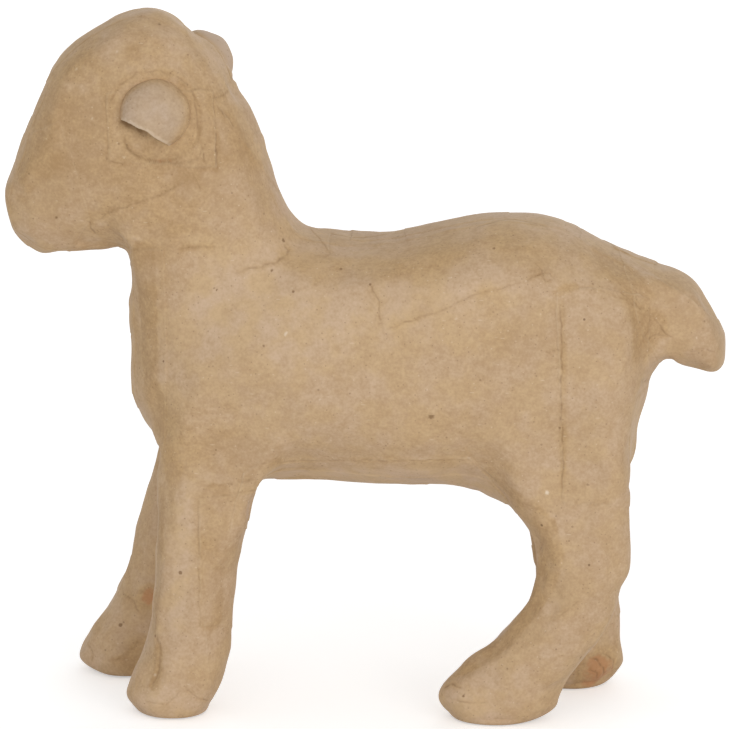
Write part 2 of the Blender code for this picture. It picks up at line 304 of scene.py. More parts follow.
# Lines along the trunk, counted from the back round to the belly
BACK_LINE = 0
LOIN_LINE = 1
CHEST_LINE = 4
BELLY_LINE = 5
UNDER_LINE = 6
PATCHES = (
    Patch("muzzle_cap", "nose", "muzzle", BACK_LINE, UNDER_LINE),
    Patch("crown_strip", "muzzle", "poll", BACK_LINE, LOIN_LINE),
    Patch("face_{side}", "muzzle", "brow", LOIN_LINE, CHEST_LINE),
    Patch("ear_patch_{side}", "brow", "poll", LOIN_LINE, CHEST_LINE),
    Patch("throat_strip", "muzzle", "poll", CHEST_LINE, UNDER_LINE),
    Patch("nape_strip", "poll", "shoulder_front", BACK_LINE, LOIN_LINE),
    Patch("neck_{side}", "poll", "shoulder_front", LOIN_LINE, CHEST_LINE),
    Patch("chest_strip", "poll", "shoulder_front", CHEST_LINE, UNDER_LINE),
    Patch("back_strip", "shoulder_front", "thigh_middle", BACK_LINE, LOIN_LINE),
    Patch("belly_strip", "girth", "thigh_front", CHEST_LINE, UNDER_LINE),
    Patch("belly_strip", "shoulder_front", "buttock", BELLY_LINE, UNDER_LINE),
    Patch("shoulder_{side}", "shoulder_front", "girth", LOIN_LINE, BELLY_LINE),
    Patch("flank_{side}", "girth", "thigh_middle", LOIN_LINE, BELLY_LINE),
    Patch("haunch_{side}", "thigh_middle", "buttock", LOIN_LINE, BELLY_LINE),
    Patch("rump_strip", "thigh_middle", "dock", BACK_LINE, LOIN_LINE + 1),
    Patch("seat", "buttock", "dock", LOIN_LINE + 1, UNDER_LINE),
    Patch("tail_wrap", "dock", "tail_end", BACK_LINE, UNDER_LINE),
)


@dataclass(frozen=True)
class Form:
    """The smooth form that skin and shell are cut from.

    Attributes:
        rings: The sections from nose to tail.
        legs: The four legs.
        patches: The parts of the skin; the first that fits a face has it.
        angles: Degrees from the back round to the belly at which a section has its points.
        squareness: The power of the sections' curve, above 2 for a rounded square.
        leg_sides: How many points a leg's section has.
        foot_rings: How many rings at a leg's end belong to its foot.
        sole_share: The flat sole's size as a share of the last ring.
        settling_rounds: How often the cage is swollen towards its given sections.
    """

    rings: tuple[Ring, ...] = RINGS
    legs: tuple[Leg, ...] = LEGS
    patches: tuple[Patch, ...] = PATCHES
    angles: tuple[int, ...] = (0, 32, 62, 90, 118, 160, 180)
    squareness: float = 2.5
    leg_sides: int = 8
    foot_rings: int = 3
    sole_share: float = 0.6
    settling_rounds: int = 8

    @property
    def lines(self) -> int:
        """How many lines a section has from back to belly on one side."""
        return len(self.angles) - 1

    def names(self) -> list[str]:
        """Every skin part's name, in order."""
        trunk = [p.name.format(side=side) for p in self.patches for side in ("left", "right")]
        legs = [f"{leg.name}_{part}" for leg in self.legs for part in ("wrap", "foot")]
        return list(dict.fromkeys(trunk + legs))

    def part_at(self, interval: int, strip: int) -> int:
        """The skin part on one face of the trunk.

        Args:
            interval: The number of the ring before the face.
            strip: The number of the section's point before it.

        Returns:
            The part's number.
        """
        order = [r.name for r in self.rings]
        line = strip if strip < self.lines else 2 * self.lines - 1 - strip
        side = "left" if strip < self.lines else "right"
        for patch in self.patches:
            along = order.index(patch.first) <= interval < order.index(patch.last)
            if along and patch.upper <= line < patch.lower:
                return self.names().index(patch.name.format(side=side))
        raise ValueError(f"no skin part covers interval {interval}, strip {strip}")

    def section(self, ring: Ring) -> list[Vector]:
        """A trunk section's points, the first on the back and then down the left side."""
        back = Vector((ring.back[0], 0.0, ring.back[1]))
        belly = Vector((ring.belly[0], 0.0, ring.belly[1]))
        points = []
        for k in range(2 * self.lines):
            angle = math.radians(self.angles[min(k, 2 * self.lines - k)])
            rise, across = (
                math.copysign(abs(wave) ** (2.0 / self.squareness), wave)
                for wave in (math.cos(angle), math.sin(angle))
            )
            side = -ring.half_width if k <= self.lines else ring.half_width
            wide = side * across if k % self.lines else 0.0
            middle = (back + belly) / 2.0
            points.append(middle + (back - belly) / 2.0 * rise + Vector((0.0, wide, 0.0)))
        return points

    def leg_section(self, leg: Leg, ring: LegRing, share: float = 1.0) -> list[Vector]:
        """A leg section's points, the first at the outer front and then backwards."""
        raised = math.radians(ring.raised)
        centre = Vector((ring.x, leg.side * leg.spread, ring.z))
        forward = Vector((-math.cos(raised), 0.0, math.sin(raised))) * ring.half_length * share
        outward = Vector((0.0, leg.side * ring.half_width * share, 0.0))
        turns = [2.0 * math.pi * (k + 0.5) / self.leg_sides for k in range(self.leg_sides)]
        return [centre + forward * math.cos(t) + outward * math.sin(t) for t in turns]

    @staticmethod
    def extend(
        bm: bmesh.types.BMesh, loop: list[bmesh.types.BMVert], places: Sequence[Vector]
    ) -> tuple[list[bmesh.types.BMVert], list[bmesh.types.BMFace]]:
        """Extrudes a closed loop of vertices to its next places.

        Args:
            bm: The mesh.
            loop: The loop's vertices in order.
            places: Where the new vertices go.

        Returns:
            The new loop, and the new faces in the same order.
        """
        edges = [bm.edges.get(pair) for pair in zip(loop, loop[1:] + loop[:1])]
        made = set(bmesh.ops.extrude_edge_only(bm, edges=edges)["geom"])
        faces = [next(f for f in e.link_faces if f in made) for e in edges]
        following = []
        for vert, place in zip(loop, places):
            new = next(o for o in (e.other_vert(vert) for e in vert.link_edges) if o in made)
            new.co = place
            following.append(new)
        return following, faces

    def add_leg(
        self, bm: bmesh.types.BMesh, leg: Leg, loops: list[list[bmesh.types.BMVert]]
    ) -> None:
        """Opens the trunk at a leg's root and extends the leg from there down to its flat sole."""
        layer = bm.faces.layers.int["part"]
        names = self.names()
        spans = self.leg_sides // 2 - 1
        start = [r.name for r in self.rings].index(leg.root)
        outer, inner = (CHEST_LINE, BELLY_LINE) if leg.side < 0 else (-CHEST_LINE, -BELLY_LINE)
        reach = range(start, start + spans + 1)
        loop = [loops[i][outer] for i in reach] + [loops[i][inner] for i in reversed(reach)]
        covered = [f for f in bm.faces if all(v in loop for v in f.verts)]
        bmesh.ops.delete(bm, geom=covered, context="FACES")
        for depth, ring in enumerate(leg.rings):
            loop, faces = self.extend(bm, loop, self.leg_section(leg, ring))
            part = "foot" if depth >= len(leg.rings) - self.foot_rings else "wrap"
            for face in faces:
                face[layer] = names.index(f"{leg.name}_{part}")
        loop, faces = self.extend(bm, loop, self.leg_section(leg, leg.rings[-1], self.sole_share))
        faces += bmesh.ops.contextual_create(bm, geom=loop)["faces"]
        for face in faces:
            face[layer] = names.index(f"{leg.name}_foot")

    @staticmethod
    def smooth_place(vert: bmesh.types.BMVert) -> Vector:
        """Where the smooth form passes for a vertex of its cage: Catmull and Clark's limit."""
        count = len(vert.link_edges)
        ends = sum((e.other_vert(vert).co for e in vert.link_edges), Vector())
        middles = sum((f.calc_center_median() for f in vert.link_faces), Vector())
        edge_mean = (vert.co + ends / count) / 2.0
        moved = (middles / count + 2.0 * edge_mean + (count - 3) * vert.co) / count
        total = count * count * moved + count * vert.co + ends + 3.0 * middles
        return total / (count * (count + 5))

    def settle(self, bm: bmesh.types.BMesh) -> None:
        """Swells the cage until the smooth form passes through the given sections."""
        wanted = [v.co.copy() for v in bm.verts]
        for _ in range(self.settling_rounds):
            places = [self.smooth_place(v) for v in bm.verts]
            for vert, target, place in zip(bm.verts, wanted, places):
                vert.co += target - place
                if target.z == 0.0:
                    vert.co.z = 0.0

    def cage(self) -> bmesh.types.BMesh:
        """The coarse form, with the number of the skin part on each face."""
        bm = bmesh.new()
        layer = bm.faces.layers.int.new("part")
        points = [self.section(r) for r in self.rings]
        loop = bmesh.ops.create_circle(bm, segments=2 * self.lines, radius=1.0)["verts"]
        for vert, place in zip(loop, points[0]):
            vert.co = place
        loops = [loop]
        for interval, places in enumerate(points[1:]):
            loop, faces = self.extend(bm, loop, places)
            loops.append(loop)
            for strip, face in enumerate(faces):
                face[layer] = self.part_at(interval, strip)
        for loop, interval in ((loops[0], 0), (loops[-1], len(self.rings) - 2)):
            cap = bmesh.ops.contextual_create(bm, geom=loop)["faces"][0]
            cap[layer] = self.part_at(interval, 0)
        for leg in self.legs:
            self.add_leg(bm, leg, loops)
        bmesh.ops.recalc_face_normals(bm, faces=bm.faces)
        self.settle(bm)
        return bm

    def smooth(self, levels: int, off_centre: float | None = None) -> bmesh.types.BMesh:
        """The cage, subdivided.

        Args:
            levels: How many times.
            off_centre: How far along X the form is from its middle, or None to find it.

        Returns:
            The mesh, centred along X.
        """
        obj = new_object("form", self.cage())
        subdivision = obj.modifiers.new("Smooth", "SUBSURF")
        subdivision.levels = subdivision.render_levels = levels
        bm = bmesh.new()
        bm.from_object(obj, bpy.context.evaluated_depsgraph_get())
        bpy.data.meshes.remove(obj.data)
        along = [v.co.x for v in bm.verts]
        middle = (min(along) + max(along)) / 2.0 if off_centre is None else off_centre
        bmesh.ops.translate(bm, vec=(-middle, 0.0, 0.0), verts=bm.verts)
        bm.normal_update()
        return bm


def new_object(name: str, bm: bmesh.types.BMesh) -> bpy.types.Object:
    """An object in the scene with a bmesh's shape; the bmesh is freed."""
    mesh = bpy.data.meshes.new(name)
    bm.to_mesh(mesh)
    bm.free()
    obj = bpy.data.objects.new(name, mesh)
    bpy.context.scene.collection.objects.link(obj)
    return obj


def solid(name: str, bm: bmesh.types.BMesh, sharp_angle: float = 180.0) -> bpy.types.Object:
    """An object in metres, smoothly shaded.

    Args:
        name: Its name.
        bm: Its shape in millimetres; freed.
        sharp_angle: Degrees between faces from which their edge is drawn sharp.

    Returns:
        The object.
    """
    bmesh.ops.transform(bm, matrix=Matrix.Scale(MM, 4), verts=bm.verts)
    obj = new_object(name, bm)
    obj.data.shade_smooth()
    if sharp_angle < 180.0:
        obj.data.set_sharp_from_angle(angle=math.radians(sharp_angle))
    return obj


def cut_off(bm: bmesh.types.BMesh, place: Sequence[float], facing: Sequence[float]) -> None:
    """Cuts a mesh at a plane and drops the side that the plane faces."""
    geom = bm.verts[:] + bm.edges[:] + bm.faces[:]
    bmesh.ops.bisect_plane(bm, geom=geom, clear_outer=True, plane_co=place, plane_no=facing)


def thicken(bm: bmesh.types.BMesh, thickness: float) -> None:
    """Makes an open sheet a thin solid, with its new face on the inside.

    Args:
        bm: The sheet, its faces outwards.
        thickness: How thick it becomes.
    """
    bm.normal_update()
    facing = bm.verts.layers.float_vector.new("facing")
    for vert in bm.verts:
        vert[facing] = vert.normal
    made = bmesh.ops.extrude_face_region(bm, geom=bm.faces[:], use_keep_orig=True)["geom"]
    for item in made:
        if isinstance(item, bmesh.types.BMVert):
            item.co -= item[facing] * thickness
    bm.verts.layers.float_vector.remove(facing)
    bmesh.ops.recalc_face_normals(bm, faces=bm.faces)


# Details of the skin


def cloud(points: np.ndarray, size: float, seed: float = 0.0) -> np.ndarray:
    """Smooth random values, about -1 to 1.

    Args:
        points: Places, one a row.
        size: How wide a bump is.
        seed: A number that picks another pattern.

    Returns:
        A value for each place.
    """
    places = (points / size + seed).tolist()
    return np.array([noise.noise(p) for p in places])


def push(place: Vector) -> Vector:
    """A smooth random vector for a place, each part about -1 to 1, the same in every run."""
    return Vector([noise.noise(place + Vector((shift,) * 3)) for shift in PUSH_SHIFTS])


def smoothstep(values: np.ndarray) -> np.ndarray:
    """Values brought from 0 to 1 with a smooth start and end."""
    t = np.clip(values, 0.0, 1.0)
    return t * t * (3.0 - 2.0 * t)


def traced(
    view: View, line: Sequence[Point], tree: BVHTree, step: float
) -> list[tuple[Vector, Vector]]:
    """Follows a line over the form.

    Args:
        view: Where the line is seen from.
        line: Its points in that view.
        tree: The form.
        step: How far apart the places are, in millimetres.

    Returns:
        The places on the form, each with its normal.
    """
    found = []
    for (a0, b0), (a1, b1) in zip(line, line[1:]):
        count = max(2, round(math.hypot(a1 - a0, b1 - b0) / view.scale / step))
        for k in range(count + 1):
            share = k / count
            sight = view.line((a0 + (a1 - a0) * share, b0 + (b1 - b0) * share))
            place, normal, _, _ = tree.ray_cast(*sight)
            if place is not None:
                found.append((place, normal))
    return found


@dataclass
class Surface:
    """The places on a mesh that details are worked out for.

    Attributes:
        points: The vertices' places.
        normals: The vertices' normals.
        tree: The smooth form, to find where a line of sight meets it.
    """

    points: np.ndarray
    normals: np.ndarray
    tree: BVHTree

    def near(self, low: np.ndarray, high: np.ndarray) -> np.ndarray:
        """The numbers of the vertices in a box."""
        inside = np.all((self.points > low) & (self.points < high), axis=1)
        return np.nonzero(inside)[0]


@dataclass
class Marks:
    """What the details do to each vertex.

    Attributes:
        height: How far it moves out.
        line: How dark a glue line, a fleck or a painted shadow is there.
        rub_and_highlight: How pale a cut edge or a pale fleck is there, partly a painted highlight.
        tone: How much lighter its sheet is than the rest, with painted light and painted shade from
            the strips.
        soak_and_shade: How much glue the paper has taken up, and how much painted shade it is
            given.
        reach: How near an edge or fold is, for splitting faces.
    """

    height: np.ndarray
    line: np.ndarray
    rub_and_highlight: np.ndarray
    tone: np.ndarray
    soak_and_shade: np.ndarray
    reach: np.ndarray

    @classmethod
    def blank(cls, count: int) -> "Marks":
        """Marks for a number of vertices, all clean."""
        zeros = [np.zeros(count) for _ in range(5)]
        return cls(*zeros, np.full(count, FAR))


@dataclass(frozen=True)
class Crease:
    """A fold along a line, or a ridge where its depth is negative.

    Attributes:
        view: Where it is seen from.
        line: Its points in that view.
        width: How far from the line it is felt.
        depth: How deep it is.
        darkness: How much glue and dust it holds, and how much painted shade darkens it.
    """

    view: View
    line: tuple[Point, ...]
    width: float = 0.35
    depth: float = 0.12
    darkness: float = 0.5
    step = 0.6
    wander = 0.5
    shake = 0.22
    fine_width = 1.0
    end_share = 0.12

    def samples(self, tree: BVHTree) -> np.ndarray:
        """Points along the crease on the form, a little unsteady as a fold is."""
        found = []
        for place, normal in traced(self.view, self.line, tree, self.step):
            sway = push(place / 2.4) * self.wander
            sway += push(place / 0.9) * self.shake
            found.append(place + sway - normal * sway.dot(normal))
        return np.array(found)

    def mark(self, surface: Surface, marks: Marks) -> None:
        """Works the crease into the marks."""
        path = self.samples(surface.tree)
        if len(path) < 2:
            return
        margin = max(2.0, 3.0 * self.width)
        near = surface.near(path.min(0) - margin, path.max(0) + margin)
        if not len(near):
            return
        places = surface.points[near]
        away = np.full(len(near), FAR)
        along = np.zeros(len(near))
        for k, (start, end) in enumerate(zip(path, path[1:])):
            run = end - start
            share = np.clip((places - start) @ run / max(run @ run, 1e-9), 0.0, 1.0)
            gap = np.linalg.norm(places - start - share[:, None] * run, axis=1)
            closer = gap < away
            away = np.where(closer, gap, away)
            along = np.where(closer, (k + share) / (len(path) - 1), along)
        taper = smoothstep(np.minimum(along, 1.0 - along) / self.end_share)
        strength = taper * (0.8 + 0.6 * cloud(places, 3.0, 7.3))
        groove = np.exp(-((away / self.width) ** 2))
        lip = np.exp(-(((away - 2.0 * self.width) / self.width) ** 2))
        marks.height[near] -= self.depth * strength * (groove - 0.35 * lip)
        # Glue and dust in the fold, darkened further as painted shade, with ochre round it from
        # glue and painted shade.
        if self.darkness:
            broken = np.clip(1.05 + 1.1 * cloud(places, 1.4, 12.5), 0.35, 1.5)
            dark = self.darkness * taper * broken * np.exp(-((away / (0.8 * self.width)) ** 2))
            marks.line[near] = np.maximum(marks.line[near], dark)
            soaked_and_shaded = 0.8 * self.darkness * taper * np.exp(-((away / 1.1) ** 2))
            marks.soak_and_shade[near] = np.maximum(marks.soak_and_shade[near], soaked_and_shaded)
        if self.width < self.fine_width:
            marks.reach[near] = np.minimum(marks.reach[near], away)


@dataclass(frozen=True)
class Lap:
    """A sheet of kraft paper pasted over the others, with its edges showing.

    Attributes:
        view: Where its outline is drawn from.
        outline: The corners of a convex outline in that view.
        until: How far round it goes: the coordinate along the view where it ends.
        thickness: How much it stands proud.
        darkness: How dark the glue line beside its edge is, partly a painted shadow of the raised
            edge.
        tone: How much lighter it is than the rest.
    """

    view: View
    outline: tuple[Point, ...]
    until: float = 0.0
    thickness: float = 0.2
    darkness: float = 0.35
    tone: float = 0.0
    edge = 0.22
    wander = 0.45

    def bounds(self) -> list[tuple[Vector, float]]:
        """The planes that bound the sheet, facing in: a normal and its distance each."""
        lines = [self.view.line(p) for p in self.outline]
        axis, sign = self.view.value
        middle = sum((s + d * CAMERA.distance for s, d in lines), Vector()) / len(lines)
        planes = []
        for (start, direction), (other, other_direction) in zip(lines, lines[1:] + lines[:1]):
            far = other + other_direction * CAMERA.distance - start
            normal = direction.cross(far).normalized()
            if normal.dot(middle - start) < 0.0:
                normal.negate()
            planes.append((normal, normal.dot(start)))
        towards = Vector((0.0, 0.0, 0.0))
        towards[axis] = sign
        planes.append((towards, sign * self.until))
        return planes

    def mark(self, surface: Surface, marks: Marks) -> None:
        """Works the sheet into the marks."""
        inside = np.full(len(surface.points), FAR)
        for normal, distance in self.bounds():
            plane = np.array(normal)
            slope = np.sqrt(np.clip(1.0 - (surface.normals @ plane) ** 2, 0.06, 1.0))
            inside = np.minimum(inside, (surface.points @ plane - distance) / slope)
        near = np.nonzero(inside > -3.0)[0]
        places, depth = surface.points[near], inside[near]
        depth = depth + cloud(places, 7.0, 3.1) * self.wander
        depth += cloud(places, 2.4, 9.7) * 0.35 + cloud(places, 0.9, 10.3) * 0.12
        marks.height[near] += self.thickness * smoothstep(depth / self.edge + 0.5)
        lifted = np.clip(cloud(places, 9.0, 5.5), 0.0, 1.0) * 0.15
        marks.height[near] += lifted * np.exp(-((depth - 0.4) ** 2) / 0.5)
        marks.tone[near] += self.tone * smoothstep(depth / self.edge + 0.5)
        # A dark glue line beside the edge, partly a painted shadow, and a pale cut edge inside it,
        # partly a painted highlight.
        patchy = np.clip(0.6 + 1.1 * cloud(places, 6.0, 2.2), 0.0, 1.0)
        broken = np.clip(0.85 + 1.0 * cloud(places, 1.5, 8.1), 0.35, 1.2)
        dark = self.darkness * patchy * broken * np.exp(-(((depth + 0.12) / 0.24) ** 2))
        marks.line[near] = np.maximum(marks.line[near], dark)
        soaked_and_shaded = 0.9 * self.darkness * patchy * np.exp(-((depth / 1.1) ** 2))
        marks.soak_and_shade[near] = np.maximum(marks.soak_and_shade[near], soaked_and_shaded)
        pale = 0.4 * patchy * np.exp(-(((depth - 0.22) / 0.2) ** 2))
        marks.rub_and_highlight[near] = np.maximum(marks.rub_and_highlight[near], pale)
        marks.reach[near] = np.minimum(marks.reach[near], np.abs(depth))


@dataclass(frozen=True)
class Spot:
    """A detail about one point.

    Attributes:
        view: Where it is seen from.
        point: Its middle in that view.
        radius: How wide it is.
    """

    view: View
    point: Point
    radius: float

    def around(self, surface: Surface, reach: float) -> tuple[np.ndarray, np.ndarray, np.ndarray]:
        """The vertices near its middle.

        Args:
            surface: The surface that it is on.
            reach: How far from the middle they may be along each axis.

        Returns:
            Their numbers, their places, and how far from the middle each is.
        """
        middle = np.array(self.view.meet(surface.tree, self.point))
        near = surface.near(middle - reach, middle + reach)
        places = surface.points[near]
        return near, places, np.linalg.norm(places - middle, axis=1)


@dataclass(frozen=True)
class Swell(Spot):
    """A swelling of the form, or a hollow where its height is negative.

    Attributes:
        height: How high it is.
        edge: How wide its edge is if it is flat inside, or 0 for a round one.
    """

    height: float
    edge: float = 0.0

    def mark(self, surface: Surface, marks: Marks) -> None:
        """Works the swelling into the marks."""
        near, places, away = self.around(surface, 2.5 * self.radius)
        if self.edge:
            away += 0.4 * cloud(places, 5.0, 11.9)
            marks.height[near] += self.height * smoothstep((self.radius - away) / self.edge)
        else:
            marks.height[near] += self.height * np.exp(-((away / self.radius) ** 2))


@dataclass(frozen=True)
class Speck(Spot):
    """A fleck of bark in the paper, or a pale one.

    Attributes:
        dark: How dark it is.
        pale: How pale it is.
    """

    radius: float = 0.38
    dark: float = 1.3
    pale: float = 0.0

    def mark(self, surface: Surface, marks: Marks) -> None:
        """Works the fleck into the marks."""
        near, _, away = self.around(surface, 2.0)
        strength = 1.0 - smoothstep((away - 0.6 * self.radius) / (0.7 * self.radius))
        marks.line[near] = np.maximum(marks.line[near], self.dark * strength)
        marks.rub_and_highlight[near] = np.maximum(marks.rub_and_highlight[near], self.pale * strength)
        marks.reach[near] = np.minimum(marks.reach[near], away)


@dataclass(frozen=True)
class StainAndShade(Spot):
    """A patch of ochre, redder where there is most: a few are glue stains, and most are painted
    shade.

    Attributes:
        strength: How brown it is.
    """

    strength: float

    def mark(self, surface: Surface, marks: Marks) -> None:
        """Works the patch into the marks."""
        near, places, away = self.around(surface, 2.5 * self.radius)
        away /= self.radius
        away += 0.35 * cloud(places, 4.0, 14.2) + 0.15 * cloud(places, 1.5, 15.8)
        marks.soak_and_shade[near] += self.strength * (1.0 - smoothstep(away - 0.4))


@dataclass(frozen=True)
class Band:
    """A strip of the paper with its own tone: a few are glue along an edge, and most are painted
    shade and painted light.

    Attributes:
        view: Where it is seen from.
        line: The line along its middle in that view.
        radius: Half its width.
        soak_and_shade: How much more glue and painted shade it holds, or less where negative.
        tone: How much lighter it is, as painted light, and darker where negative, as painted shade.
        edge: How wide its edge is.
    """

    view: View
    line: tuple[Point, ...]
    radius: float
    soak_and_shade: float
    tone: float = 0.0
    edge: float = 0.9

    def mark(self, surface: Surface, marks: Marks) -> None:
        """Works the strip into the marks."""
        path = np.array([place for place, _ in traced(self.view, self.line, surface.tree, 1.5)])
        if not len(path):
            return
        margin = 1.5 * self.radius + 1.0
        near = surface.near(path.min(0) - margin, path.max(0) + margin)
        places = surface.points[near]
        away = np.full(len(near), FAR)
        for place in path:
            away = np.minimum(away, np.linalg.norm(places - place, axis=1))
        away += 0.5 * cloud(places, 3.5, 21.3) + 0.25 * cloud(places, 1.2, 22.9)
        inside = smoothstep((self.radius - away) / self.edge + 0.5)
        patchy = np.clip(0.75 + 0.7 * cloud(places, 5.0, 23.7), 0.1, 1.2)
        marks.soak_and_shade[near] += self.soak_and_shade * inside * patchy
        marks.tone[near] += self.tone * inside


@dataclass(frozen=True)
class Facets:
    """The flats that fingers press into wet paper.

    Attributes:
        spacing: How far apart their middles are.
        share: How much of each flat shows, from 0 for none to 1 for a cut stone.
        blend: How softly they meet, as a share of the spacing.
        limit: The most that a flat moves the paper.
        seed: The number that picks their pattern.
        tries: How many lines are tried for a flat's middle.
    """

    spacing: float = 9.0
    share: float = 0.4
    blend: float = 0.45
    limit: float = 0.7
    seed: int = 11
    tries: int = 12000

    def middles(self, tree: BVHTree) -> tuple[np.ndarray, np.ndarray]:
        """Chooses places where random lines meet the form, none of them near another.

        Args:
            tree: The form.

        Returns:
            The places, and the form's normals there.
        """
        draw = random.Random(self.seed)
        low, high = (np.array(corner) / MM for corner in CAD_BOX)
        chosen: list[tuple[float, ...]] = []
        facings: list[tuple[float, ...]] = []
        for _ in range(self.tries):
            start = [draw.uniform(a, b) for a, b in zip(low, high)]
            place, facing, _, _ = tree.ray_cast(start, [draw.gauss(0.0, 1.0) for _ in range(3)])
            if place is None:
                continue
            gaps = np.array(chosen or [[math.inf] * 3]) - np.array(place)
            if np.linalg.norm(gaps, axis=1).min() > self.spacing:
                chosen.append(place[:])
                facings.append(facing[:])
        return np.array(chosen), np.array(facings)

    def heights(self, surface: Surface) -> np.ndarray:
        """How far each vertex moves out to lie on its flat."""
        middles, facings = self.middles(surface.tree)
        tree = KDTree(len(middles))
        for number, middle in enumerate(middles):
            tree.insert(middle, number)
        tree.balance()
        nearest = [tree.find_n(p, 4) for p in surface.points.tolist()]
        numbers = np.array([[n for _, n, _ in row] for row in nearest])
        gaps = np.array([[d for _, _, d in row] for row in nearest])
        planes = facings[numbers]
        facing = np.einsum("ijk,ik->ij", planes, surface.normals)
        rise = np.einsum("ijk,ijk->ij", middles[numbers] - surface.points[:, None, :], planes)
        rise = np.clip(rise / np.maximum(facing, 0.4), -3.0, 3.0)
        weights = np.exp((gaps[:, :1] ** 2 - gaps**2) / (self.blend * self.spacing) ** 2)
        weights *= smoothstep(facing / 0.5)
        flat = (rise * weights).sum(1) / np.maximum(weights.sum(1), 1e-6)
        return self.limit * np.tanh(self.share * flat / self.limit)


def seen(kind: type, view: View, *rows: Sequence) -> tuple:
    """Details of one kind seen from one side, one a row."""
    return tuple(kind(view, *row) for row in rows)


LAPS = seen(
    Lap, View.PHOTO,
    (((107, 92), (214, 90), (217, 168), (107, 163)), -8.0, 0.22, 0.45, 0.02),
    (((163, 250), (166, 345), (164, 446), (90, 440), (90, 250)), 12.0, 0.18, 0.3),
    (((214, 99), (240, 76), (330, 100), (330, 250), (260, 165)), 3.0, 0.15, 0.35),
    (((556, 292), (590, 287), (640, 293), (652, 300), (649, 506), (563, 506)), -2.0, 0.16, 0.1),
    # The belly's sheet is a little lighter, as painted light from below.
    (((244, 474), (262, 461), (470, 459), (505, 500), (500, 530), (230, 530)), 20.0, 0.25, 0.1,
     0.02),
    (((198, 498), (262, 494), (240, 627), (200, 626)), -14.0, 0.14, 0.5),
    (((150, 560), (200, 560), (215, 735), (110, 735), (140, 640)), -17.0, 0.1, 0.12),
    (((620, 250), (735, 330), (735, 400), (668, 380), (640, 320)), 4.0, 0.15, 0.2),
    (((-10, 150), (60, 120), (90, 222), (60, 270), (-10, 270)), 6.0, 0.12, 0.15),
) + seen(
    Lap, View.RIGHT,
    (((-72, 158), (-72, 183), (-38, 185), (-36, 157)), 8.0, 0.22, 0.45, 0.02),
    (((-64, 80), (-56, 141), (-80, 141), (-90, 80)), -8.0, 0.18, 0.3),
    (((40, 60), (44, 128), (80, 132), (86, 60)), 2.0, 0.2, 0.5),
    (((-32, 55), (-28, 70), (38, 69), (44, 55)), -18.0, 0.22, 0.3, 0.03),
    (((-20, 112), (8, 148), (44, 146), (20, 108)), -2.0, 0.18, 0.35, -0.02),
    (((-74, 14), (-70, 34), (-44, 38), (-44, 12)), 16.0, 0.14, 0.3),
    (((44, 22), (45, 40), (78, 42), (78, 20)), 14.0, 0.14, 0.3),
    (((-100, 120), (-80, 120), (-86, 165), (-104, 165)), -4.0, 0.12, 0.2),
    (((-55, 96), (-30, 92), (-26, 126), (-50, 130)), 2.0, 0.15, 0.3, 0.02),
) + seen(
    Lap, View.TOP,
    (((-88, -5), (-86, 7), (-50, 6), (-48, -6)), 150.0, 0.16, 0.25, 0.01),
    (((-30, -7), (-28, 9), (6, 10), (8, -6)), 100.0, 0.14, 0.25),
    (((12, -6), (10, 12), (54, 13), (56, -5)), 100.0, 0.14, 0.25, -0.01),
    (((60, -7), (60, 8), (80, 7), (80, -8)), 100.0, 0.14, 0.25, 0.01),
) + seen(
    Lap, View.FRONT,
    (((-11, 88), (-12, 124), (12, 126), (12, 86)), -40.0, 0.16, 0.3, 0.02),
    (((-9, 128), (-10, 178), (11, 180), (9, 130)), -60.0, 0.14, 0.3),
) + seen(
    Lap, View.REAR,
    (((-16, 62), (-15, 92), (14, 94), (16, 60)), 50.0, 0.16, 0.35, 0.02),
) + seen(
    Lap, View.UNDER,
    (((-24, -10), (-24, 11), (16, 12), (18, -10)), 75.0, 0.16, 0.35, -0.02),
)
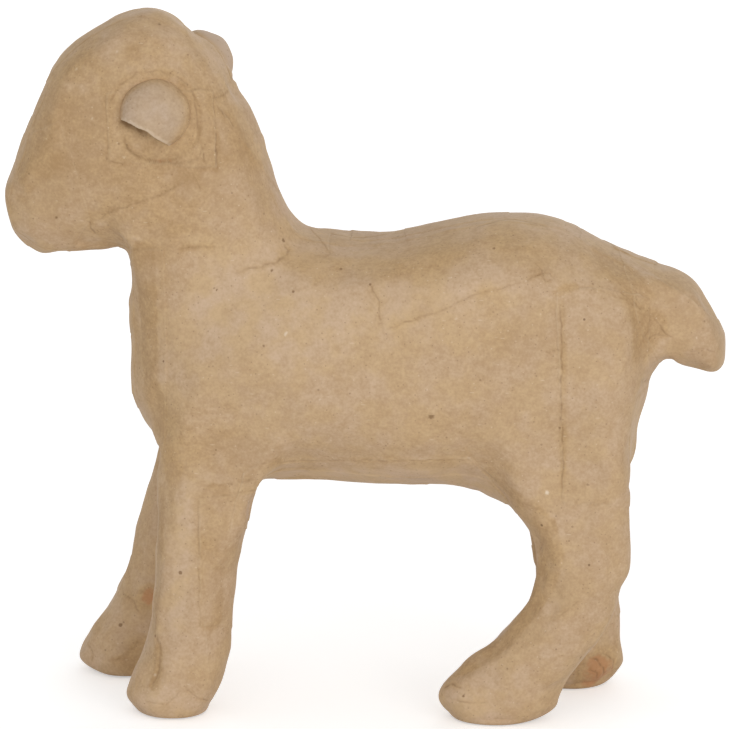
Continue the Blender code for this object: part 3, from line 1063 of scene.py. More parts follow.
CREASES = seen(
    Crease, View.PHOTO,
    (((92, 226), (105, 215), (132, 205), (160, 196), (176, 188), (190, 178)), 0.35, 0.14, 0.45),
    (((190, 170), (196, 180), (201, 192)), 0.3, 0.08, 0.45),
    (((88, 221), (90, 228), (96, 236)), 0.4, 0.14, 0.5),
    (((126, 241), (134, 237), (143, 243)), 0.6, -0.3, 0.0),
    (((126, 226), (136, 222), (148, 224)), 0.6, -0.15, 0.0),
    (((176, 248), (195, 248), (218, 247)), 0.35, 0.1, 0.5),
    (((178, 226), (190, 232)), 0.3, 0.1, 0.4),
    (((230, 275), (245, 270), (262, 266), (275, 262), (287, 253), (290, 247), (283, 240)), 0.5,
     0.15, 0.45),
    (((368, 282), (375, 292), (379, 305), (379, 315), (383, 327)), 0.35, 0.12, 0.4),
    (((380, 332), (405, 322), (435, 312), (455, 304), (470, 296), (500, 288), (525, 281)), 0.35,
     0.12, 0.38),
    (((525, 281), (536, 275), (549, 272), (556, 280)), 0.3, 0.12, 0.5),
    (((528, 272), (540, 267), (552, 276)), 0.25, 0.08, 0.4),
    (((572, 290), (582, 287), (600, 290), (625, 298), (655, 315)), 0.5, 0.08, 0.25),
    (((540, 276), (546, 282), (553, 279)), 0.25, 0.08, 0.5),
    (((534, 262), (541, 268), (545, 276)), 0.25, 0.08, 0.4),
    (((210, 101), (220, 96), (231, 89)), 0.35, 0.12, 0.5),
    (((217, 99), (222, 110), (230, 119), (237, 127)), 0.4, 0.14, 0.5),
    (((620, 292), (634, 300), (645, 312)), 0.35, 0.1, 0.4),
    (((655, 318), (652, 330), (646, 345)), 0.5, 0.2, 0.25),
    (((559, 296), (561, 320), (562, 355), (561, 400), (563, 450), (562, 503)), 0.35, 0.1, 0.52),
    (((545, 352), (560, 350)), 0.3, 0.08, 0.4),
    (((563, 505), (585, 504), (612, 503)), 0.35, 0.1, 0.35),
    (((480, 470), (495, 482), (510, 497)), 0.5, 0.15, 0.35),
    (((515, 500), (535, 509), (560, 515)), 0.45, 0.12, 0.3),
    (((458, 440), (466, 455), (472, 464)), 0.35, -0.12, 0.0),
    (((196, 481), (215, 487), (235, 484), (256, 480)), 0.45, 0.14, 0.4),
    (((248, 470), (262, 464), (300, 462), (380, 461), (470, 462)), 0.4, 0.12, 0.4),
    (((155, 632), (160, 650), (158, 668), (150, 692)), 0.6, 0.25, 0.35),
    (((185, 689), (200, 698), (217, 703)), 0.35, 0.1, 0.4),
    (((586, 657), (596, 660), (604, 668), (606, 680)), 0.45, 0.18, 0.6),
    (((606, 654), (614, 660), (616, 672)), 0.4, 0.15, 0.5),
    (((588, 668), (597, 672), (598, 682)), 0.4, 0.15, 0.5),
    (((143, 700), (165, 706), (182, 690)), 0.35, 0.08, 0.3),
    (((688, 352), (700, 349), (716, 351)), 0.35, 0.1, 0.3),
    (((655, 318), (664, 328), (668, 340)), 0.4, 0.12, 0.5),
    (((650, 342), (658, 336), (672, 338)), 0.4, 0.1, 0.4),
    (((443, 690), (452, 684), (463, 689)), 0.4, 0.14, 0.5),
    (((452, 699), (470, 704), (488, 703)), 0.4, 0.08, 0.3),
    (((550, 622), (565, 612), (580, 600)), 0.4, 0.1, 0.3),
    (((528, 560), (540, 545), (548, 524)), 0.7, 0.15, 0.25),
    (((120, 590), (133, 602), (142, 618)), 0.35, 0.1, 0.4),
    (((84, 640), (92, 655), (90, 664)), 0.35, 0.1, 0.4),
    (((110, 662), (128, 655), (140, 640)), 0.4, 0.1, 0.3),
    (((109, 125), (110, 103), (116, 91), (125, 81), (137, 73), (156, 70), (175, 75), (187, 84),
     (195, 97), (198, 115), (197, 135), (195, 150)), 0.4, 0.12, 0.42),
    (((124, 130), (125, 140), (128, 149), (134, 156), (146, 161), (160, 163), (178, 164),
     (190, 163), (198, 157), (203, 148), (205, 135)), 0.4, 0.13, 0.45),
    # Painted shadow: a wide dark fold under the left ear's mouth, where the hood shades the head.
    (((119, 119), (128, 124), (138, 130), (148, 137)), 0.9, 0.7, 1.1),
    (((203, 146), (204, 158), (206, 165)), 0.35, 0.1, 0.6),
    (((216, 130), (217, 150), (216, 170)), 0.35, 0.1, 0.5),
    (((107, 140), (106, 160), (125, 166)), 0.35, 0.08, 0.4),
    (((168, 164), (185, 167), (202, 169)), 0.3, 0.08, 0.4),
) + seen(
    Crease, View.RIGHT,
    (((-59.5, 170), (-58, 180), (-52, 187), (-44, 188)), 0.4, 0.12, 0.5),
    (((-57, 166), (-50, 162.5), (-42, 163), (-36, 168)), 0.45, 0.2, 0.6),
    (((-80, 140), (-70, 145), (-58, 149), (-48, 152)), 0.35, 0.14, 0.5),
    (((-12, 120), (0, 110), (14, 104), (30, 102)), 0.4, 0.12, 0.45),
    (((-44, 132), (-34, 128), (-22, 130)), 0.4, 0.12, 0.4),
    (((10, 84), (24, 88), (40, 86)), 0.35, 0.1, 0.4),
    (((-48, 100), (-40, 88), (-36, 74)), 0.45, 0.12, 0.4),
    (((52, 122), (62, 124), (72, 118)), 0.4, 0.1, 0.35),
    (((48, 58), (60, 56), (72, 60)), 0.5, 0.14, 0.35),
    (((-60, 56), (-50, 58), (-40, 55)), 0.5, 0.14, 0.4),
    (((-76, 8), (-68, 12), (-60, 9)), 0.4, 0.12, 0.35),
    (((50, 8), (58, 11), (68, 9)), 0.4, 0.12, 0.35),
    (((-40, 168), (-34, 158), (-28, 146)), 0.35, 0.12, 0.4),
    (((-57, 176), (-56, 184), (-48, 188), (-39, 185), (-36, 177), (-38, 168)), 0.8, 0.45, 0.45),
) + seen(
    Crease, View.TOP,
    (((-72, -3), (-66, 2), (-60, 9)), 0.35, 0.12, 0.4),
    (((-14, 4), (-4, 0), (8, 2)), 0.4, 0.12, 0.4),
    (((30, -8), (40, -3), (52, -6)), 0.4, 0.12, 0.4),
) + seen(
    Crease, View.FRONT,
    (((-8, 150), (-2, 153), (6, 151)), 0.35, 0.12, 0.4),
    (((-10, 106), (0, 103), (10, 107)), 0.35, 0.12, 0.4),
) + seen(
    Crease, View.REAR,
    (((-18, 98), (-8, 95), (6, 96), (18, 100)), 0.5, 0.14, 0.4),
    (((-3, 60), (-1, 76), (2, 92)), 0.35, 0.1, 0.35),
) + seen(
    Crease, View.UNDER,
    (((-20, -6), (-4, -2), (14, -5)), 0.35, 0.12, 0.4),
) + seen(
    Crease, View.PHOTO,
    (((549, 530), (560, 553), (555, 566), (545, 585), (541, 608), (526, 628), (509, 647),
     (490, 664), (468, 680), (448, 694)), 1.9, -0.45, 0.0),
    (((174, 500), (166, 540), (164, 580), (158, 625), (150, 655)), 1.8, -0.3, 0.0),
    (((60, 110), (48, 140), (32, 165), (20, 195)), 2.2, -0.3, 0.0),
) + seen(
    Crease, View.RIGHT,
    (((-60, 52), (-66, 38), (-72, 22), (-80, 10)), 1.9, -0.4, 0.0),
    (((48, 50), (47, 36), (48, 20), (47, 10)), 1.9, -0.4, 0.0),
)
SWELLS = seen(
    Swell, View.PHOTO,
    ((160, 121), 12.2, -0.7, 1.2),
) + seen(
    Swell, View.RIGHT,
    ((-47.1, 175.0), 12.0, -0.7, 1.2),
) + seen(
    Swell, View.PHOTO,
    ((146, 145), 5.5, -1.2),
) + seen(
    Swell, View.RIGHT,
    ((-53.0, 168.5), 5.5, -1.2),
) + seen(
    Swell, View.PHOTO,
    ((653, 325), 6.5, -1.3), ((150, 665), 3.5, -0.5),
) + seen(
    Swell, View.RIGHT,
    ((45.0, 37.0), 7.0, -0.5),
) + seen(
    Swell, View.PHOTO,
    ((345, 245), 12.0, -0.4), ((250, 360), 18.0, 0.5),
) + seen(
    Swell, View.PHOTO,
    ((153, 447), 4.8, -1.45), ((249, 505), 6.5, -2.1), ((261, 504), 6.0, -1.2),
    ((259, 517), 7.0, -0.7), ((252, 541), 5.0, -1.3), ((526, 536), 5.5, -1.8),
    ((522, 556), 7.0, -1.4), ((495, 640), 5.0, -0.8), ((484, 636), 4.0, -0.8),
    ((440, 489), 12.0, -1.7), ((395, 487), 8.0, -0.5), ((331, 489), 7.0, -0.4),
    ((706, 297), 4.5, -1.2), ((711, 288), 6.0, -1.1), ((692, 369), 4.5, -1.3),
    ((672, 371), 4.0, -0.3), ((732, 340), 5.0, 0.8), ((237, 88), 4.0, -1.4), ((245, 83), 4.0, -0.6),
    ((120, 262), 5.0, -1.3), ((60, 260), 5.0, -0.6), ((106, 256), 3.0, 0.5), ((26, 244), 4.5, -0.9),
    ((8, 175), 4.5, -0.9), ((23, 130), 6.0, 0.8), ((105, 20), 7.0, -0.8), ((188, 23), 4.5, -0.9),
    ((200, 23), 5.0, -1.4), ((137, 1), 6.0, -0.4), ((618, 594), 3.0, -0.9), ((631, 592), 4.0, -0.6),
    ((615, 673), 4.0, -1.2), ((625, 672), 3.5, -0.6), ((577, 695), 5.0, -1.4),
    ((605, 689), 4.0, -0.7), ((500, 719), 8.0, -0.8), ((491, 731), 8.0, -0.8),
    ((444, 720), 4.0, -0.8), ((565, 701), 4.0, 0.8), ((83, 642), 4.0, -0.8), ((75, 635), 4.0, -0.6),
    ((104, 594), 4.0, -0.5), ((120, 555), 5.0, -0.6), ((113, 684), 5.0, 0.8),
    ((132, 398), 8.0, -0.7), ((128, 345), 8.0, -0.5), ((122, 319), 6.0, 0.6),
    ((637, 478), 7.0, 1.1), ((629, 530), 8.0, 0.45), ((641, 456), 5.0, 0.9),
    ((636, 507), 6.0, 0.35), ((660, 370), 4.0, 0.7), ((637, 557), 6.0, 0.5), ((143, 484), 8.0, 0.5),
    ((620, 620), 5.0, 0.9), ((630, 652), 5.0, 0.7), ((232, 600), 8.0, 0.4), ((242, 584), 4.0, 0.4),
    ((229, 652), 6.0, 0.6), ((230, 684), 4.0, 0.5), ((219, 702), 7.0, -0.7),
    ((335, 220), 14.0, 0.2), ((321, 219), 6.0, 0.4), ((366, 222), 6.0, 0.4),
    ((440, 211), 10.0, 0.5), ((540, 205), 8.0, 0.45), ((389, 223), 4.0, -0.5),
    ((484, 494), 4.0, 0.7), ((441, 682), 4.0, 0.6), ((648, 395), 6.0, 0.7), ((651, 258), 5.0, 0.6),
)
STAINS_AND_SHADE = seen(
    StainAndShade, View.PHOTO,
    # The first two are red stains on the feet; the rest are mostly painted shade: on the chest's
    # edge, the front of the head, the slope under the back, the rear shin, under the jaw, in the
    # tail's root and over the head.
    ((600, 674), 7.0, 2.2), ((149, 598), 3.2, 2.3), ((138, 655), 6.0, 0.6), ((120, 672), 5.0, 0.5),
    ((648, 330), 5.5, 0.6), ((175, 445), 8.0, 0.35), ((148, 300), 6.0, 0.45),
    ((148, 350), 6.0, 0.45), ((150, 395), 6.0, 0.35), ((30, 165), 6.0, 0.5), ((55, 165), 4.0, 0.35),
    ((420, 255), 12.0, 0.25), ((320, 265), 8.0, 0.3), ((520, 245), 10.0, 0.2),
    ((105, 150), 26.0, 0.45), ((205, 115), 15.0, 0.35), ((450, 395), 26.0, 0.25),
    ((200, 430), 14.0, 0.4), ((150, 215), 14.0, 0.35), ((200, 240), 15.0, 0.25),
    ((540, 545), 6.0, 0.5), ((528, 600), 5.0, 0.4), ((490, 645), 5.0, 0.35),
    ((490, 320), 9.0, 0.25), ((110, 238), 5.0, 0.5), ((150, 60), 8.0, 0.3), ((85, 70), 7.0, 0.3),
    ((245, 150), 7.0, 0.35), ((160, 150), 6.0, 0.35), ((205, 150), 5.0, 0.3),
    ((500, 470), 7.0, 0.3), ((160, 540), 5.0, 0.3), ((205, 550), 5.0, 0.3),
) + seen(
    StainAndShade, View.RIGHT,
    # Mostly painted shade on the right side, as on the left.
    ((-72, 165), 24.0, 0.3), ((-60, 90), 9.0, 0.45), ((40, 120), 9.0, 0.35), ((84, 105), 6.0, 0.5),
    ((-90, 150), 6.0, 0.5), ((58, 30), 7.0, 0.4), ((-66, 20), 6.0, 0.45), ((0, 80), 9.0, 0.3),
    ((56, 8), 5.0, 0.6),
)
BANDS = seen(
    Band, View.PHOTO,
    # Painted shade down the front of the near rear shin, the near front leg's left side, right edge
    # and foot, and the far front leg; painted light down the near front leg's middle.
    (((519, 505), (541, 530), (549, 556), (541, 583), (527, 608), (506, 633), (482, 651),
     (457, 668), (438, 686)), 4.6, 0.7, -0.01),
    (((160, 500), (159, 545), (157, 590), (153, 625)), 2.2, 0.25, -0.05),
    (((183, 492), (182, 540), (179, 590), (175, 625)), 2.4, -0.35, 0.05),
    (((216, 498), (215, 545), (213, 590), (212, 618)), 4.0, 0.35, -0.02),
    (((158, 650), (157, 670), (154, 685)), 1.8, 0.7, -0.03),
    (((140, 478), (131, 520), (118, 565), (100, 600), (90, 630)), 5.0, 0.3, -0.01),
    # Painted shade on the rump's rear slope, less of it on the tail, and painted shade down the
    # chest's edge, the front of the head and the slope under the back, which is also lightened.
    (((608, 255), (632, 282), (645, 305), (650, 325), (646, 345)), 5.0, 0.65, -0.02, 4.0),
    (((684, 300), (694, 325), (700, 345)), 5.5, -0.3, 0.0),
    (((143, 255), (147, 320), (150, 380), (160, 425)), 3.6, 0.55, -0.035),
    (((85, 45), (62, 85), (48, 125), (32, 160), (22, 190)), 3.8, 0.35, 0.0, 2.5),
    (((285, 245), (330, 255), (380, 258), (430, 248), (480, 238), (530, 235)), 5.5, 0.1, 0.03, 3.0),
    # Painted shade on the head, cheek, throat, neck, haunch, under the chest, on the rear leg and
    # the tail; painted light on the shoulder, mid flank, top of the back and feet.
    (((80, 138), (130, 160), (185, 145), (222, 128)), 13.0, 0.1, -0.045, 12.0),
    (((42, 200), (48, 225)), 7.0, 0.0, -0.035, 6.0),
    (((165, 235), (165, 290)), 5.5, 0.0, -0.035, 5.0),
    (((200, 190), (250, 195)), 6.0, 0.0, -0.03, 6.0),
    (((240, 295), (290, 285), (300, 325)), 13.0, 0.0, 0.045, 12.0),
    (((370, 312), (420, 312), (485, 300)), 9.0, 0.0, 0.04, 8.0),
    (((470, 222), (510, 215), (555, 226)), 6.0, 0.0, 0.04, 5.0),
    (((530, 338), (580, 335), (640, 335)), 8.0, 0.0, -0.03, 8.0),
    (((222, 452), (258, 462)), 7.0, 0.15, -0.05, 6.0),
    (((590, 560), (570, 620), (550, 665)), 8.0, 0.0, -0.025, 8.0),
    (((678, 285), (705, 315), (718, 340)), 7.0, 0.0, -0.045, 6.0),
    (((150, 708), (205, 708)), 5.0, 0.0, 0.05, 4.0),
    (((425, 700), (480, 715)), 5.0, 0.0, 0.05, 4.0),
    # Painted shade at the elbow, and painted light along the underside of the belly's edge.
    (((170, 455), (172, 478), (176, 495)), 3.0, 0.3, -0.02),
    (((265, 476), (330, 474), (400, 474), (450, 476)), 2.5, -0.3, 0.06),
    (((563, 300), (564, 340), (565, 400), (564, 450), (563, 500)), 0.9, 0.45),
    (((558, 293), (566, 288), (575, 286)), 1.4, 0.8, -0.02),
    (((110, 108), (108, 140), (107, 158)), 0.8, 0.5),
    (((126, 150), (140, 160), (170, 163), (200, 168), (216, 170)), 0.9, 0.5),
    (((216, 130), (217, 150), (216, 168)), 0.8, 0.5),
    # Painted highlights along the back of the head and nape, and on the throat's ridge.
    (((196, 35), (215, 62), (232, 95), (246, 125), (258, 150)), 2.6, -0.4, 0.04),
    (((128, 236), (136, 239)), 0.8, 0.0, 0.12),
) + seen(
    Band, View.RIGHT,
    # Painted shade down the fronts of the right legs, the chest's edge, the front of the head, the
    # slope under the back and the rump's edge; the last strip is glue along a lap edge.
    (((-58, 60), (-64, 40), (-72, 20), (-78, 8)), 4.0, 0.6, -0.03),
    (((47, 55), (46, 35), (47, 12)), 3.5, 0.6, -0.03),
    (((-66, 150), (-62, 120), (-60, 95)), 3.6, 0.5, -0.03),
    (((-96, 140), (-86, 165), (-70, 186)), 3.6, 0.4, -0.02),
    (((-20, 128), (10, 130), (40, 136)), 5.5, 0.4, -0.01),
    (((66, 135), (78, 122), (80, 112)), 4.0, 0.5, -0.04),
    (((42, 60), (44, 90), (44, 126)), 0.9, 0.45),
)
SPECKS = tuple(
    Speck(View.PHOTO, point, *sizes)
    for sizes, points in (
        ((), ((272, 270), (341, 267), (370, 284), (155, 636), (494, 247), (217, 290), (293, 291),
              (264, 346), (56, 218), (560, 429), (463, 696), (160, 23), (216, 151), (581, 658))),
        ((0.52, 1.9), ((431, 418), (176, 445), (285, 239), (120, 625), (180, 573))),
        ((0.55, 0.0, 3.2), ((286, 334), (547, 493))),
        ((0.42, 0.0, 1.3), ((469, 460), (456, 319), (76, 69), (117, 51), (320, 400), (92, 119),
                            (154, 675))),
    )
    for point in points
)


@dataclass(frozen=True)
class Relief:
    """All the details of the skin, and the unevenness of hand-pasted paper.

    Attributes:
        details: The creases, laps, swellings, flecks, stains and patches of painted shade, and the
            strips of glue, painted shade and painted light.
        facets: The flats.
        lump: The height and the width of the slow lumps.
        ripple: The height and the width of the small ones.
        sink: How far the whole skin lies inside the form, to make room for them.
        turned: How much painted shade, as ochre, is laid where the form turns away from its sides.
    """

    details: tuple[Crease | Lap | Spot | Band, ...] = (
        LAPS + CREASES + SWELLS + SPECKS + STAINS_AND_SHADE + BANDS
    )
    facets: Facets = Facets()
    lump: Point = (0.3, 16.0)
    ripple: Point = (0.1, 4.5)
    sink: float = 0.55
    turned: float = 0.5

    def marks(self, surface: Surface) -> Marks:
        """What the details do to each vertex."""
        marks = Marks.blank(len(surface.points))
        for detail in self.details:
            detail.mark(surface, marks)
        # Painted shade: ochre in a band where the form turns halfway from its sides, where the
        # lamps' light falls off.
        slant = np.abs(surface.normals[:, 1]) + 0.12 * cloud(surface.points, 8.0, 16.4)
        band = np.exp(-(((slant - 0.5) / 0.28) ** 2))
        patchy = np.clip(0.6 + 0.9 * cloud(surface.points, 13.0, 19.6), 0.1, 1.0)
        marks.soak_and_shade += self.turned * band * patchy
        return marks

    def uneven(self, surface: Surface) -> np.ndarray:
        """The heights of the flats, lumps and ripples."""
        lumps = cloud(surface.points, self.lump[1], 1.7) * self.lump[0]
        ripples = cloud(surface.points, self.ripple[1], 4.9) * self.ripple[0]
        return lumps + ripples + self.facets.heights(surface) - self.sink


# Finishes


class Wire:
    """A material's socket on which Python's operators add Math nodes."""

    def __init__(self, graph: "Graph", socket: bpy.types.NodeSocket) -> None:
        """Keeps a socket with its graph."""
        self.graph = graph
        self.socket = socket

    def math(self, operation: str, *values: "Wire | float") -> "Wire":
        """Adds a Math node.

        Args:
            operation: The node's operation.
            *values: Its inputs.

        Returns:
            Its output.
        """
        return self.graph.node("ShaderNodeMath", {"operation": operation}, dict(enumerate(values)))

    def __add__(self, other: "Wire | float") -> "Wire":
        """Adds a value."""
        return self.math("ADD", self, other)

    def __sub__(self, other: "Wire | float") -> "Wire":
        """Takes a value off."""
        return self.math("SUBTRACT", self, other)

    def __rsub__(self, other: float) -> "Wire":
        """Takes the wire off a number."""
        return self.math("SUBTRACT", other, self)

    def __mul__(self, other: "Wire | float") -> "Wire":
        """Multiplies by a value."""
        return self.math("MULTIPLY", self, other)

    def most(self, other: "Wire | float") -> "Wire":
        """The larger of it and another."""
        return self.math("MAXIMUM", self, other)

    def __radd__(self, other: float) -> "Wire":
        """Adds the wire to a number."""
        return self + other

    def __rmul__(self, other: float) -> "Wire":
        """Multiplies a number by the wire."""
        return self * other

    def step(self, low: float, high: float) -> "Wire":
        """A smooth mask from 0 at low to 1 at high; high may be the smaller."""
        settings = {"interpolation_type": "SMOOTHSTEP"}
        flip = high < low
        values = {"Value": self, "From Min": min(low, high), "From Max": max(low, high)}
        values |= {"To Min": float(flip), "To Max": float(not flip)}
        return self.graph.node("ShaderNodeMapRange", settings, values)


class Graph:
    """The nodes of a material, or of the surroundings."""

    def __init__(
        self,
        name: str,
        tree: bpy.types.NodeTree | None = None,
        output: str = "ShaderNodeOutputMaterial",
    ) -> None:
        """Starts with nothing but an output.

        Args:
            name: The material's name.
            tree: The surroundings' nodes, or None to make a material.
            output: The output's type.
        """
        if tree is None:
            self.material = bpy.data.materials.new(name)
            self.material.use_nodes = True
            tree = self.material.node_tree
        self.tree = tree
        self.tree.nodes.clear()
        self.output = self.tree.nodes.new(output)

    @property
    def place(self) -> Wire:
        """The place on the object."""
        return self.node("ShaderNodeTexCoord", {}, {}, "Object")

    def node(
        self,
        kind: str,
        settings: dict[str, object],
        values: dict[str | int, "Wire | float | Sequence[float]"],
        output: str | int = 0,
    ) -> Wire:
        """Adds a node.

        Args:
            kind: The node's type.
            settings: Its properties, set first.
            values: Numbers, colours or wires for its inputs.
            output: Which output is wanted.

        Returns:
            That output.
        """
        made = self.tree.nodes.new(kind)
        for key, value in settings.items():
            setattr(made, key, value)
        for key, value in values.items():
            if isinstance(value, Wire):
                self.tree.links.new(value.socket, made.inputs[key])
            else:
                made.inputs[key].default_value = value
        return Wire(self, made.outputs[output])

    def end(self, shader: Wire) -> None:
        """Links a shader to the output."""
        self.tree.links.new(shader.socket, self.output.inputs["Surface"])

    def attribute(self, name: str) -> Wire:
        """A vertex attribute's value."""
        return self.node("ShaderNodeAttribute", {"attribute_name": name}, {}, "Fac")

    def turned(self, degrees: Sequence[float], stretch: Sequence[float]) -> Wire:
        """The place on the object, turned and then stretched."""
        angles = [math.radians(d) for d in degrees]
        return self.node(
            "ShaderNodeMapping", {}, {"Vector": self.place, "Rotation": angles, "Scale": stretch}
        )

    def noise(self, size: float, detail: float = 3.0, where: Wire | None = None) -> Wire:
        """Smooth noise from 0 to 1 whose blotches are about a size in millimetres."""
        values = {"Vector": where or self.place, "Scale": 1.0 / (size * MM), "Detail": detail}
        return self.node("ShaderNodeTexNoise", {}, values)

    def dots(self, spacing: float, radius: float, share: float, where: Wire | None = None) -> Wire:
        """Specks strewn over the surface.

        Args:
            spacing: The mean distance between places for a speck, in millimetres.
            radius: A speck's radius.
            share: The share of the places that have one.
            where: The coordinates to use.

        Returns:
            A mask of the specks.
        """
        values = {"Vector": where or self.place, "Scale": 1.0 / (spacing * MM)}
        away = self.node("ShaderNodeTexVoronoi", {}, values, "Distance")
        colour = self.node("ShaderNodeTexVoronoi", {}, values, "Color")
        chance = self.node("ShaderNodeSeparateColor", {}, {"Color": colour})
        size = radius / spacing
        return away.step(size, size * 0.6) * chance.step(1.0 - share, 1.0 - share + 0.02)

    def mix(self, share: Wire, first: "Wire | Colour", second: "Wire | Colour") -> Wire:
        """A colour between two others."""
        first, second = (c if isinstance(c, Wire) else (*c, 1.0) for c in (first, second))
        values = {0: share, 6: first, 7: second}
        return self.node("ShaderNodeMix", {"data_type": "RGBA"}, values, 2)


@dataclass(frozen=True)
class KraftPaper:
    """Brown kraft paper, pasted and dried.

    Attributes:
        name: Its material's name.
        light: Its palest tone.
        honey: Its palest tone where it is yellower.
        dark: Its darkest tone.
        ochre: Its palest tone where it has taken up glue, and where painted shade is laid on.
        brown: Its darkest tone there.
        stain: Its tone where the paper holds the most glue.
        glue: The brown of glue lines and folds, and of painted shadows in folds, beside sheet edges
            and under the ears.
        dark_fleck: The colour of bark flecks.
        pale_fleck_and_highlight: The colour of pale flecks and cut edges, and of painted highlights
            on edges and the ears' rims.
        roughness: Its mean roughness.
        fuzz: How much its fibres shine at a slant.
        tooth: How much its surface stands up, in metres.
    """

    name: str = "kraft_paper"
    light: Colour = (0.592, 0.430, 0.292)
    honey: Colour = (0.590, 0.417, 0.243)
    dark: Colour = (0.430, 0.280, 0.150)
    ochre: Colour = (0.545, 0.363, 0.180)
    brown: Colour = (0.370, 0.225, 0.102)
    stain: Colour = (0.450, 0.195, 0.080)
    glue: Colour = (0.205, 0.115, 0.050)
    dark_fleck: Colour = (0.150, 0.080, 0.035)
    pale_fleck_and_highlight: Colour = (0.690, 0.560, 0.410)
    roughness: float = 0.7
    fuzz: float = 0.08
    tooth: float = 0.00008

    def tone(self, graph: Graph) -> Wire:
        """How pale the paper is from place to place, about 0 to 1."""
        along = graph.turned((25.0, 40.0, 15.0), (0.8, 1.0, 1.0))
        clouds = graph.noise(30.0, 2.0) - 0.5
        blotches = graph.noise(6.0, 4.0) - 0.5
        mottle = graph.noise(1.8, 3.0, along) - 0.5
        grain = graph.noise(0.75, 2.0) - 0.5
        tone = 0.5 + clouds * 0.35 + blotches * 0.55 + mottle * 0.75 + grain * 0.82
        return tone + graph.attribute("tone") * 4.0

    def material(self) -> bpy.types.Material:
        """Makes the material."""
        graph = Graph(self.name)
        tone = self.tone(graph)
        warmth = graph.noise(9.0, 4.0).step(0.38, 0.62)
        pale = graph.mix(warmth, self.light, self.honey)
        colour = graph.mix(tone.step(-0.15, 1.15), self.dark, pale)
        patches = graph.noise(17.0, 4.0).step(0.5, 0.75) * graph.noise(1.5, 2.0).step(0.2, 0.7)
        # Glue and painted shade turn the paper ochre and brown, and the strongest glue stains
        # redder.
        soak_and_shade = graph.attribute("soak_and_shade") * graph.noise(3.2, 3.0).step(-0.2, 0.65)
        soaked_and_shaded = graph.mix((tone * 1.3 - 0.15).step(-0.15, 1.15), self.brown, self.ochre)
        colour = graph.mix(patches * 0.22 + soak_and_shade.step(0.0, 0.8) * 0.7, colour, soaked_and_shaded)
        colour = graph.mix(soak_and_shade.step(1.3, 2.1) * 0.6, colour, self.stain)
        hairs = graph.turned((0.0, 25.0, 60.0), (0.16, 1.0, 1.0))
        for mask, fleck in (
            (graph.dots(2.2, 0.26, 0.3) * 0.42, self.pale_fleck_and_highlight),
            (graph.dots(1.3, 0.14, 0.3, hairs) * 0.45, self.pale_fleck_and_highlight),
            (graph.dots(1.5, 0.27, 0.5) * 0.38, self.glue),
            (graph.dots(4.3, 0.38, 0.4) * 0.5, self.glue),
            (graph.dots(13.0, 0.5, 0.3) * 0.75, self.dark_fleck),
            # Glue lines, folds and painted shadows, then pale flecks, cut edges and painted
            # highlights.
            (graph.attribute("line").step(-0.15, 1.25) * 0.8, self.glue),
            (graph.attribute("rub_and_highlight") * 0.33, self.pale_fleck_and_highlight),
        ):
            colour = graph.mix(mask, colour, fleck)
        crumple = graph.node(
            "ShaderNodeTexVoronoi", {"feature": "DISTANCE_TO_EDGE"},
            {"Vector": self.warped(graph), "Scale": 1.0 / (9.0 * MM)},
        )
        folds = crumple.step(0.0, 0.05)
        height = folds * 0.35 + graph.noise(1.4, 3.0) * 1.0 + graph.noise(0.5, 1.0) * 0.5
        bump = graph.node(
            "ShaderNodeBump", {}, {"Strength": 0.6, "Distance": self.tooth, "Height": height}
        )
        shader = graph.node(
            "ShaderNodeBsdfPrincipled", {},
            {"Base Color": colour, "Roughness": self.roughness + (tone - 0.5) * 0.08,
             "Specular IOR Level": 0.3, "Sheen Weight": self.fuzz, "Sheen Roughness": 0.35,
             "Normal": bump},
        )
        graph.end(shader)
        return graph.material

    @staticmethod
    def warped(graph: Graph) -> Wire:
        """The place, swayed by noise so that folds don't run straight."""
        sway = graph.node(
            "ShaderNodeTexNoise", {}, {"Vector": graph.place, "Scale": 1.0 / (6.0 * MM)}, "Color"
        )
        return graph.node(
            "ShaderNodeVectorMath", {"operation": "MULTIPLY_ADD"},
            {0: sway, 1: (0.004, 0.004, 0.004), 2: graph.place},
        )


@dataclass(frozen=True)
class MouldedPulp:
    """The coarse grey-brown pulp of the shell under the facing."""

    light: Colour = (0.44, 0.37, 0.29)
    dark: Colour = (0.34, 0.28, 0.21)
    roughness: float = 0.9

    def material(self) -> bpy.types.Material:
        """Makes the material."""
        graph = Graph("moulded_pulp")
        tone = graph.noise(6.0, 4.0) * 0.6 + graph.noise(0.8, 2.0) * 0.4
        colour = graph.mix(tone.step(0.3, 0.7), self.dark, self.light)
        bump = graph.node(
            "ShaderNodeBump", {}, {"Strength": 0.7, "Distance": 0.0002, "Height": tone}
        )
        shader = graph.node(
            "ShaderNodeBsdfPrincipled", {},
            {"Base Color": colour, "Roughness": self.roughness, "Normal": bump},
        )
        graph.end(shader)
        return graph.material


# The goat's pieces


def finish_piece(
    obj: bpy.types.Object, material: bpy.types.Material, slot: str, *nodes: str
) -> None:
    """Puts a piece on the body with its finish.

    Args:
        obj: The piece, in metres.
        material: Its material.
        slot: The name of a finish slot; not used.
        *nodes: The CAD nodes it stands for.
    """
    obj.data.materials.append(material)
    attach(obj, BODY)
    if nodes:
        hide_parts(*nodes)
    LOG.info("%s: %d faces", obj.name, len(obj.data.polygons))


